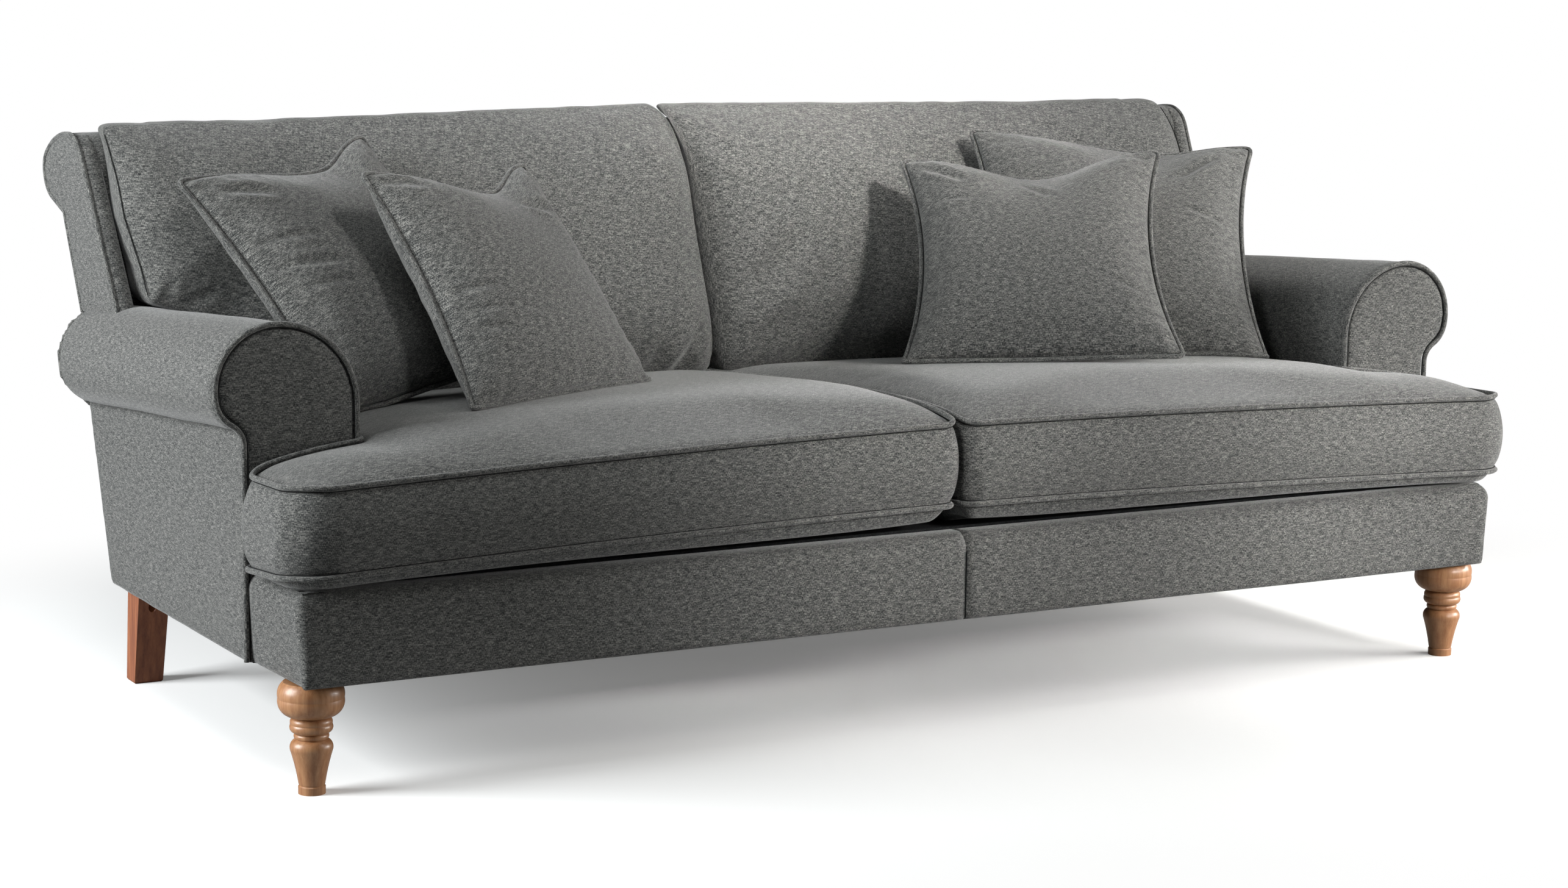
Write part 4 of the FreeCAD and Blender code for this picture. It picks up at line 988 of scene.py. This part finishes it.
def pillow(word, sizes, centre, yaw, lean, roll, chop, pull, seed, neighbours, creases):
    """sizes are half the width low down and high up, and half the height; chop is where across the
    top the dent is and how deep; pull is how far the sides draw in."""
    name, node = "pillow_" + word, "scatter_" + word
    low, top, high = sizes
    mesh = sewn_squares(name)
    square = points_of(mesh)
    corner = np.empty(len(mesh.loops), dtype=np.int32)
    mesh.loops.foreach_get("vertex_index", corner)
    set_uv(mesh, (square[:, [0, 2]] * high * 1.05)[corner])
    a, layer, b = square.T
    plump = ((1 - a * a) * (1 - b * b)).clip(0) ** 0.46
    wide = low + (top - low) * (b + 1) / 2
    # gathers run in from every seam and are deepest near the corners
    gather = np.zeros(len(a))
    for number, (along, across) in enumerate(((a, 1 - b), (a, 1 + b), (b, 1 - a), (b, 1 + a))):
        into = across * high
        wave = waver(along * high, 0.036, seed + number) * (0.35 + 0.9 * np.abs(along) ** 3)
        gather += wave * np.exp(-into / 0.045) * (1 - np.exp(-into / 0.012))
    thick = np.where(layer > 0, 0.080, 0.078) * plump + np.where(layer > 0, 0.001, 0.0042) * gather
    face_points = np.stack([a * wide, b * high], axis=1)
    for start, finish, width, depth in creases:
        thick = thick + crease(face_points, start, finish, width, depth) * (layer < 0)
    u = a * wide * (1 - pull * (1 - b * b) ** 0.9)
    v = b * high * (1 - (0.020 + 0.030 * (b > 0)) * (1 - a * a))
    turn_r = 0.014
    over = np.stack([np.abs(u) - (wide - turn_r), np.abs(v) - (high - turn_r)], axis=1).clip(0)
    shrink = over.max(axis=1) / np.maximum(np.linalg.norm(over, axis=1), 1e-9)
    rounded = (over > 0).all(axis=1)
    u = np.where(rounded, np.sign(u) * (wide - turn_r + over[:, 0] * shrink), u)
    v = np.where(rounded, np.sign(v) * (high - turn_r + over[:, 1] * shrink), v)
    shape = np.stack([u, layer * thick.clip(0.0015), v], axis=1)
    # a chop in the top edge, with its own slope on each side
    slope = np.where(a < chop[0], (1 + a) / (1 + chop[0]), (1 - a) / (1 - chop[0])).clip(0)
    dent = np.sin(slope * math.pi / 2) ** 3 * np.clip(1 - (high - v) / 0.26, 0, 1) ** 1.5
    shape[:, 2] -= chop[1] * dent
    shape[:, 1] *= 1 - 0.40 * dent
    place(mesh, shape)
    outwards(mesh)
    # the rim in order, from the lower left corner round by the right
    rim = np.nonzero(layer == 0)[0]
    rim = rim[np.argsort((np.arctan2(b[rim], a[rim]) + 0.75 * math.pi + 1e-4) % (2 * math.pi))]
    settle(mesh, rim, 3.0, 0.006)
    turn = Matrix.Rotation(math.radians(yaw), 3, "Z") @ Matrix.Rotation(math.radians(-lean), 3, "X")
    turn = np.array(turn @ Matrix.Rotation(math.radians(-roll), 3, "Y"))
    middle = np.array(centre)
    loose = points_of(mesh) @ turn.T + middle
    trees = [BVHTree.FromPolygons([v.co for v in near.data.vertices],
                                  [tuple(p.vertices) for p in near.data.polygons]) for near in neighbours]
    # the back gives way to what it rests on, while the rim and the face keep their shape
    pushed = averaged(mesh, keep_clear(loose, trees, 0.0055) - loose, np.nonzero(layer <= 0)[0], 8)
    placed = keep_clear(loose + pushed, trees, 0.0045)
    place(mesh, placed)
    outwards(mesh)
    obj = soft_piece(name, mesh, node, (node,))
    outward = (placed[rim] - middle) / np.linalg.norm(placed[rim] - middle, axis=1)[:, None]
    cord = placed[rim] + outward * 0.002
    tube(name + "_welt", cord, 0.005, 0.0042, (), node)
    # Inside the piping, a thin near-black cord paints the shade of the groove where the face meets it.
    tube(name + "_groove", cord + turn @ np.array([0, -0.0018, 0]) - outward * 0.0036, 0.005, 0.0009,
         (), node, painted_shade_weave, sides=6)
    return obj


rear_left = pillow("rear_left", (0.236, 0.228, 0.230), (-0.733, y_at(0.650), 0.678), 24.6, 39.6, 7.2,
                   (0.36, 0.036), 0.11, 71, [seats["left"], backs["left"]],
                   [((-0.21, 0.19), (-0.11, 0.15), 0.010, 0.008), ((-0.22, 0.08), (-0.10, 0.05), 0.006, 0.004),
                    ((-0.22, 0.03), (-0.09, -0.01), 0.007, 0.005), ((-0.20, -0.02), (-0.08, -0.05), 0.005, 0.004)])
pillow("front_left", (0.231, 0.204, 0.212), (-0.545, y_at(0.476), 0.672), 28.7, 35.9, -2.1,
       (0.40, 0.043), 0.13, 72, [seats["left"], rear_left],
       [((-0.21, -0.02), (-0.12, -0.04), 0.006, 0.004), ((-0.21, -0.06), (-0.11, -0.075), 0.005, 0.004),
        ((-0.21, -0.09), (-0.12, -0.11), 0.006, 0.004), ((-0.20, 0.19), (-0.13, 0.17), 0.009, 0.007),
        ((0.09, 0.16), (0.15, 0.10), 0.009, 0.010)])
rear_right = pillow("rear_right", (0.254, 0.258, 0.246), (0.687, y_at(0.575), 0.674), -23, 45.6, -4.4,
                    (0.34, 0.022), 0.13, 73, [seats["right"], backs["right"]],
                    [((0.20, 0.20), (0.11, 0.12), 0.009, 0.008), ((0.22, 0.02), (0.12, 0.04), 0.006, 0.004)])
pillow("front_right", (0.237, 0.226, 0.224), (0.452, y_at(0.474), 0.672), -33.5, 45, 4.2,
       (0.05, 0.047), 0.155, 74, [seats["right"], rear_right],
       [((-0.20, 0.19), (-0.13, 0.14), 0.009, 0.008), ((-0.02, 0.17), (0.03, 0.10), 0.009, 0.007),
        ((-0.21, 0.10), (-0.12, 0.09), 0.005, 0.004), ((0.21, -0.12), (0.12, -0.10), 0.006, 0.004)])

# ------------------------------------------------------------------ floor, light and camera
# A plain studio sweep that takes the shadow near the sofa and runs out to white further away, so
# that the eye sees ground only where the legs stand.
bm = bmesh.new()
bmesh.ops.create_grid(bm, x_segments=1, y_segments=1, size=1)
bmesh.ops.scale(bm, verts=bm.verts, vec=(12, 19, 1))
bmesh.ops.translate(bm, verts=bm.verts, vec=(0, 11, 0))
floor_mesh = bpy.data.meshes.new("floor")
bm.to_mesh(floor_mesh)
bm.free()
floor_paint, tree = new_material("floor")
seen = add(tree, "LightPath")
ground = add(tree, "MapRange", {"Value": seen, "To Min": 0.30, "To Max": 0.92})
paint = add(tree, "BsdfPrincipled", {"Base Color": ground, "Roughness": 0.9, "Specular IOR Level": 0.1})
plain = add(tree, "Emission", {"Color": (1, 1, 1, 1), "Strength": 1.0})
spot = add(tree, "Mapping", {"Vector": add(tree, "TexCoord").outputs["Object"],
                                       "Scale": (1.0, 1.25, 1.0)})
reach = add(tree, "VectorMath", {0: spot}, operation="LENGTH").outputs["Value"]
away = add(tree, "MapRange", {"Value": reach, "From Min": 1.25, "From Max": 2.1},
           interpolation_type="SMOOTHSTEP")
fade = add(tree, "Math", {0: away, 1: seen}, operation="MULTIPLY")
# the bright ground of the studio, seen by the camera only
glow = add(tree, "Math", {0: seen, 1: 0.18}, operation="MULTIPLY")
lift = add(tree, "Emission", {"Color": (1, 0.995, 0.985, 1), "Strength": glow})
lit = add(tree, "AddShader", {0: paint, 1: lift})
mix = add(tree, "MixShader", {0: fade, 1: lit, 2: plain})
add(tree, "OutputMaterial", {"Surface": mix})
floor_mesh.materials.append(floor_paint)
stand("floor", floor_mesh)

world = bpy.data.worlds.new("studio")
scene.world = world
world.use_nodes = True
tree = world.node_tree
tree.nodes.clear()
white = add(tree, "Background", {"Color": (1, 1, 1, 1), "Strength": 1.0})
ambient = add(tree, "Background", {"Color": (0.90, 1.0, 0.96, 1), "Strength": 0.03})
seen = add(tree, "LightPath")
mix = add(tree, "MixShader", {0: seen, 1: ambient, 2: white})
add(tree, "OutputWorld", {"Surface": mix})

# A cool box at the left end, warm ones near the right end, soft ones above, and narrow gridded
# ones.  Each: name, place, target, size, watts, colour, spread.
warm = (1.0, 0.985, 0.96)
for name, place_at, target, size, watts, colour, opening in (
        ("side_left", (-3.6, 0.2, 1.5), (0, 0.2, 0.5), (1.6, 1.8), 168, (0.96, 0.99, 1.0), 180),
        ("top_left", (-1.5, -0.9, 2.6), (-0.5, 0.1, 0.6), (0.9, 0.9), 19, (0.98, 1.0, 1.0), 180),
        ("right_low", (2.9, -1.3, 0.9), (0.8, 0, 0.4), (1.2, 0.9), 74, warm, 180),
        ("right_near", (1.6, -1.9, 0.7), (0.9, -0.5, 0.35), (0.7, 0.5), 11, warm, 180),
        ("front_right_high", (2.2, -2.6, 3.0), (0.3, 0, 0.4), (1.2, 1.2), 24, warm, 180),
        ("grid_low", (0.5, -3.2, 1.3), (-0.08, -0.55, 0.38), (0.4, 0.3), 1.15, (1.0, 0.985, 0.97), 20),
        ("grid_right_low", (1.5, -3.2, 1.1), (0.74, -0.6, 0.33), (0.4, 0.3), 1.35, (1.0, 0.985, 0.97), 20),
        ("grid_left", (-0.6, -3.0, 2.6), (-0.45, 0.3, 0.95), (0.5, 0.5), 2.5, (1.0, 0.99, 0.97), 26),
        ("grid_right", (1.2, -3.0, 2.6), (0.3, 0.3, 1.02), (0.4, 0.4), 4.0, (1.0, 0.97, 0.94), 19),
        ("over_right", (1.9, -0.7, 2.0), (1.0, 0.1, 0.6), (0.5, 0.5), 3.0, warm, 50)):
    lamp = bpy.data.lights.new(name, "AREA")
    lamp.shape = "RECTANGLE"
    lamp.size, lamp.size_y = size
    lamp.energy, lamp.color, lamp.spread = watts, colour, math.radians(opening)
    box = stand(name, lamp)
    box.location = place_at
    box.rotation_euler = (Vector(target) - Vector(place_at)).to_track_quat("-Z", "Y").to_euler()

camera = bpy.data.cameras.new("camera")
camera.sensor_width = 36.0
camera.lens = 79.06
camera_object = stand("camera", camera)
yaw, pitch, tilt = math.radians(28.90), math.radians(9.36), math.radians(0.71)
ahead = Vector((math.sin(yaw) * math.cos(pitch), math.cos(yaw) * math.cos(pitch), -math.sin(pitch)))
level = Vector((math.cos(yaw), -math.sin(yaw), 0))
upright = level.cross(ahead)
across = level * math.cos(tilt) + upright * math.sin(tilt)
upward = upright * math.cos(tilt) - level * math.sin(tilt)
turned = Matrix((across, upward, -ahead)).transposed().to_4x4()
camera_object.matrix_world = Matrix.Translation((-2.7702, y_at(-4.4734), 1.3113)) @ turned
scene.camera = camera_object
scene.view_settings.view_transform = "Standard"
